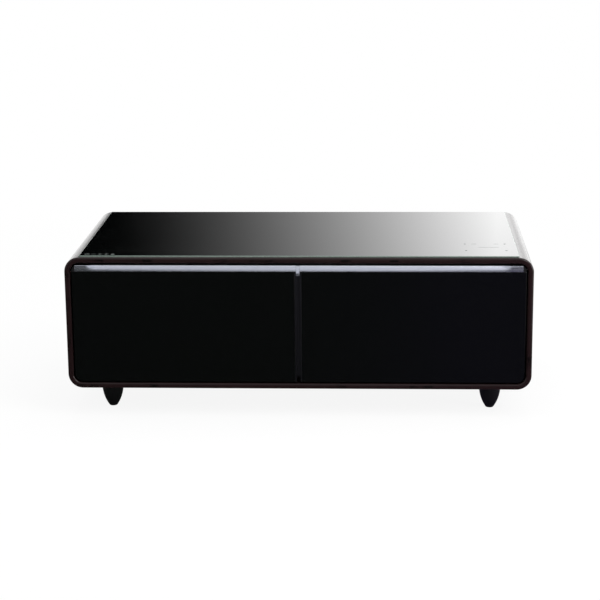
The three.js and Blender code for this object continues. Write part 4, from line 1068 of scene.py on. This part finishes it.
# %% Eased copies
def eased(node, material, width, segments=2):
    """A copy of a node with its doubles merged, what is flat within 1 degree made one face, and every
    edge past 30 degrees rounded over by a width."""
    mesh = frame["nodes"][node].data.copy()
    shape = bmesh.new()
    shape.from_mesh(mesh)
    bmesh.ops.remove_doubles(shape, verts=shape.verts, dist=2 * MERGE)
    bmesh.ops.dissolve_limit(shape, angle_limit=radians(1), verts=shape.verts, edges=shape.edges)
    shape.to_mesh(mesh)
    shape.free()
    made = bpy.data.objects.new(node + "_eased", mesh)
    ease = made.modifiers.new("eased edges", "BEVEL")
    ease.width = width
    ease.segments = segments
    ease.limit_method = "ANGLE"
    ease.angle_limit = radians(30)
    return finish_piece(made, mesh, material, node)


for side in ("left", "right"):
    for flank in ("inboard", "outboard"):
        for member in ("cabinet", "middle", "drawer"):
            eased(f"{side}_{flank}_{member}_rail", steel_galvanised, 0.3 * MM)
    eased(side + "_evaporator_cover", styrene_white, 0.5 * MM)
eased("mains_inlet", abs_black, 0.5 * MM)
eased("power_switch", abs_black, 0.4 * MM)
eased("usb_panel", abs_black, 0.5 * MM)
eased("power_supply", steel_galvanised, 0.6 * MM)
eased("compressor", steel_coated, 1.0 * MM)
eased("condenser_fan_frame", abs_black, 0.6 * MM)
eased("compressor_base", steel_galvanised, 0.4 * MM)

# %% [markdown]
# ## Pieces that stay as they are
#
# What is closed in for good keeps the frame's own solid, and only gets its material: the foam, the
# bulkhead, the boards under the glass, the fins, the fans and the pipe.

# %% Materials for the frame's own pieces
kept = {
    "insulation": foam,
    "bulkhead": steel_galvanised,
    "touch_board": board_lacquered,
    "wireless_charger": copper_drawn,
    "left_door_foam": foam,
    "right_door_foam": foam,
    "left_evaporator": aluminium_foil,
    "right_evaporator": aluminium_foil,
    "left_evaporator_fan": abs_black,
    "right_evaporator_fan": abs_black,
    "condenser": aluminium_foil,
    "condenser_fan": abs_black,
    "discharge_pipe": copper_drawn,
}
for node, material in kept.items():
    frame["nodes"][node].material_slots[0].material = material
print("kept nodes:", len(kept))

# %% [markdown]
# ## The studio
#
# The photograph has no room in it: a white ground, a shine on the glass that grows from black at the
# left to white at the right, and fronts that mirror almost nothing. The floor and the air are white,
# and a photographer gets the rest with cards that stand where only mirrors see them. Behind the table
# stand two: one shaded from black to white, which the glass top mirrors, and a bright one behind it,
# which shows round the first one's edges. In front of the table a dark sheet lies on the floor, and a
# dark flag stands at either side, which keep the glass fronts black. The last card is the room behind
# the camera, a soft grey that the bright grips mirror.


# %% Floor, air and cards
def flat_sheet(name, low, high, material):
    """A rectangle between two corners, one of whose three sizes is nothing."""
    low, high = np.array(low), np.array(high)
    across, up = np.flatnonzero(high - low)
    corners = np.repeat(low[None], 4, 0)
    corners[[1, 2], across] = high[across]
    corners[[2, 3], up] = high[up]
    mesh = bpy.data.meshes.new(name)
    mesh.from_pydata(corners, [], [[0, 1, 2, 3]])
    made = bpy.data.objects.new(name, mesh)
    mesh.materials.append(material)
    bpy.context.collection.objects.link(made)
    return made


def mirrors_only(made):
    """A thing that only shows in mirrors, and neither lights nor shades anything else."""
    made.visible_camera = made.visible_diffuse = made.visible_shadow = False
    made.visible_transmission = made.visible_volume_scatter = False
    return made


def seen(tree):
    """One for what the camera, a mirror or glass sees, and nothing for light that falls on a thing."""
    rays = add_node(tree, "LightPath").outputs
    first = {0: rays["Is Camera Ray"], 1: rays["Is Glossy Ray"]}
    mirrored = add_node(tree, "Math", first, operation="MAXIMUM").outputs[0]
    through = {0: mirrored, 1: rays["Is Transmission Ray"]}
    return add_node(tree, "Math", through, operation="MAXIMUM").outputs[0]


def floor_paint():
    """Pale floor: a tenth of what is seen of it answers to the light, so it keeps the table's shadow,
    and the rest is white. From 1 m to 3 m from the middle that tenth fades out too, so that the floor
    meets the white air without a line."""
    made, tree, shader = start_material("floor_painted_white", Base_Color=colour("#f7f7f7"), Roughness=0.9)
    white = add_node(tree, "Emission", {"Color": (1, 1, 1, 1), "Strength": 1.0})
    place = add_node(tree, "TexCoord").outputs["Object"]
    far = add_node(tree, "VectorMath", {0: place}, operation="LENGTH").outputs["Value"]
    whiteness = between(tree, far, 0.9, 1.0, 1.0, 3.0)
    share = add_node(tree, "Math", {0: seen(tree), 1: whiteness}, operation="MULTIPLY")
    mixed = add_node(tree, "MixShader", {0: share.outputs[0], 1: shader.outputs[0], 2: white.outputs[0]})
    tree.links.new(mixed.outputs[0], tree.nodes["Material Output"].inputs["Surface"])
    return made


def shaded_card(low, high, codes, between_x, strength, fade):
    """A card whose glow runs from one hex colour to another between two places along X, and that turns
    clear towards its edges. The share of the second colour goes with the place to the power 2.4, which
    looks even. The clearness is the product of a ramp at each edge, as wide as the fade."""
    made, tree, _ = start_material("card_shaded")
    place = add_node(tree, "SeparateXYZ", {0: add_node(tree, "TexCoord").outputs["Object"]}).outputs
    share = between(tree, place["X"], 0.0, 1.0, *between_x)
    even = add_node(tree, "Math", {0: share, 1: 2.4}, operation="POWER").outputs[0]
    glow = two_tones(tree, even, *codes)
    light = add_node(tree, "Emission", {"Color": glow, "Strength": strength}).outputs[0]
    solid = add_node(tree, "Value").outputs[0]  # what is left solid, edge after edge
    solid.default_value = 1.0
    for way, start, end in zip("XYZ", low, high):
        edges = ((start, fade), (end, -fade)) if start < end else ()
        for edge, inward in edges:
            ramp = between(tree, place[way], 0.0, 1.0, edge, edge + inward)
            solid = add_node(tree, "Math", {0: solid, 1: ramp}, operation="MULTIPLY").outputs[0]
    clear = add_node(tree, "BsdfTransparent").outputs[0]
    mixed = add_node(tree, "MixShader", {0: solid, 1: clear, 2: light})
    tree.links.new(mixed.outputs[0], tree.nodes["Material Output"].inputs["Surface"])
    return made


flat_sheet("floor", (-12, -12, 0), (12, 12, 0), floor_paint())
# Corners, first and last colour, where they lie along X, strength, and width of the clear edge.
CARDS = {
    "shaded_card": ((-1.4, 3.0, 0.75), (1.3, 3.0, 1.45), ("#000000", "#ffffff"), (-1.09, 0.76), 2.65, 0.2),
    "bright_card": ((-3.2, 3.1, -0.5), (3.2, 3.1, 1.9), ("#e6e6e6", "#ffffff"), (-1.0, 1.0), 1.75, 0.3),
    "dark_sheet": ((-4.0, -6.0, 0.001), (1.5, 0.35, 0.001), ("#2f312f", "#3d384c"), (-0.3, 0.5), 1.0, 0.5),
    "left_flag": ((-3.2, -3.5, -0.5), (-0.5, -3.5, 1.2), ("#333333", "#333333"), (-1.0, 1.0), 1.0, 0.5),
    "right_flag": ((0.5, -3.5, -0.5), (3.2, -3.5, 1.0), ("#262626", "#262626"), (-1.0, 1.0), 1.0, 0.25),
    "room": ((-9.0, -7.0, -1.0), (9.0, -7.0, 9.0), ("#b9bac0", "#d4d5dc"), (-1.0, 1.0), 1.0, 1.0),
}
for name, (low, high, codes, between_x, strength, fade) in CARDS.items():
    mirrors_only(flat_sheet(name, low, high, shaded_card(low, high, codes, between_x, strength, fade)))

# %% [markdown]
# ## Light
#
# The air gives an even fill, and white to the camera and to mirrors. A large soft lamp from above and
# the right makes the right flank a little brighter than the left, as in the photograph, a second one
# over the table lights its top edges, and a small low one from the right picks out that flank. The one
# over the table is left out of mirrors, because the glass top would turn grey with it when seen from
# above. Together they light a level, open surface about as brightly as its colour is written.


# %% Air and lamps
def air(fill):
    """Air that is white to the camera and to mirrors, and gives all else a fill of a strength."""
    world = bpy.data.worlds.new("air")
    bpy.context.scene.world = world
    world.use_nodes = True
    tree = world.node_tree
    strength = between(tree, seen(tree), fill, 1.0, 0.0, 1.0)
    tree.links.new(strength, tree.nodes["Background"].inputs["Strength"])
    tree.nodes["Background"].inputs["Color"].default_value = (1, 1, 1, 1)


def lamp(name, place, towards, size, power):
    """A square area lamp that faces a point."""
    light = bpy.data.lights.new(name, "AREA")
    light.shape = "SQUARE"
    light.size = size
    light.energy = power
    made = bpy.data.objects.new(name, light)
    bpy.context.collection.objects.link(made)
    made.location = place
    aim = np.array(towards) - np.array(place)
    made.rotation_euler = (np.arctan2(np.hypot(*aim[:2]), -aim[2]), 0, np.arctan2(-aim[0], aim[1]))
    return made


air(0.55)
# Place, the point that it faces, side in metres, and power in watts.
lamp("key", (2.6, -2.0, 3.2), (0, 0, 0.2), 2.4, 90)
lamp("top", (0.0, 0.2, 3.6), (0, 0, 0.4), 2.6, 60).visible_glossy = False
lamp("side", (3.6, -1.6, 0.9), (0.6, -0.3, 0.25), 1.2, 45)
bpy.context.scene.view_settings.view_transform = "Standard"
print("lamps:", len(bpy.data.lights))
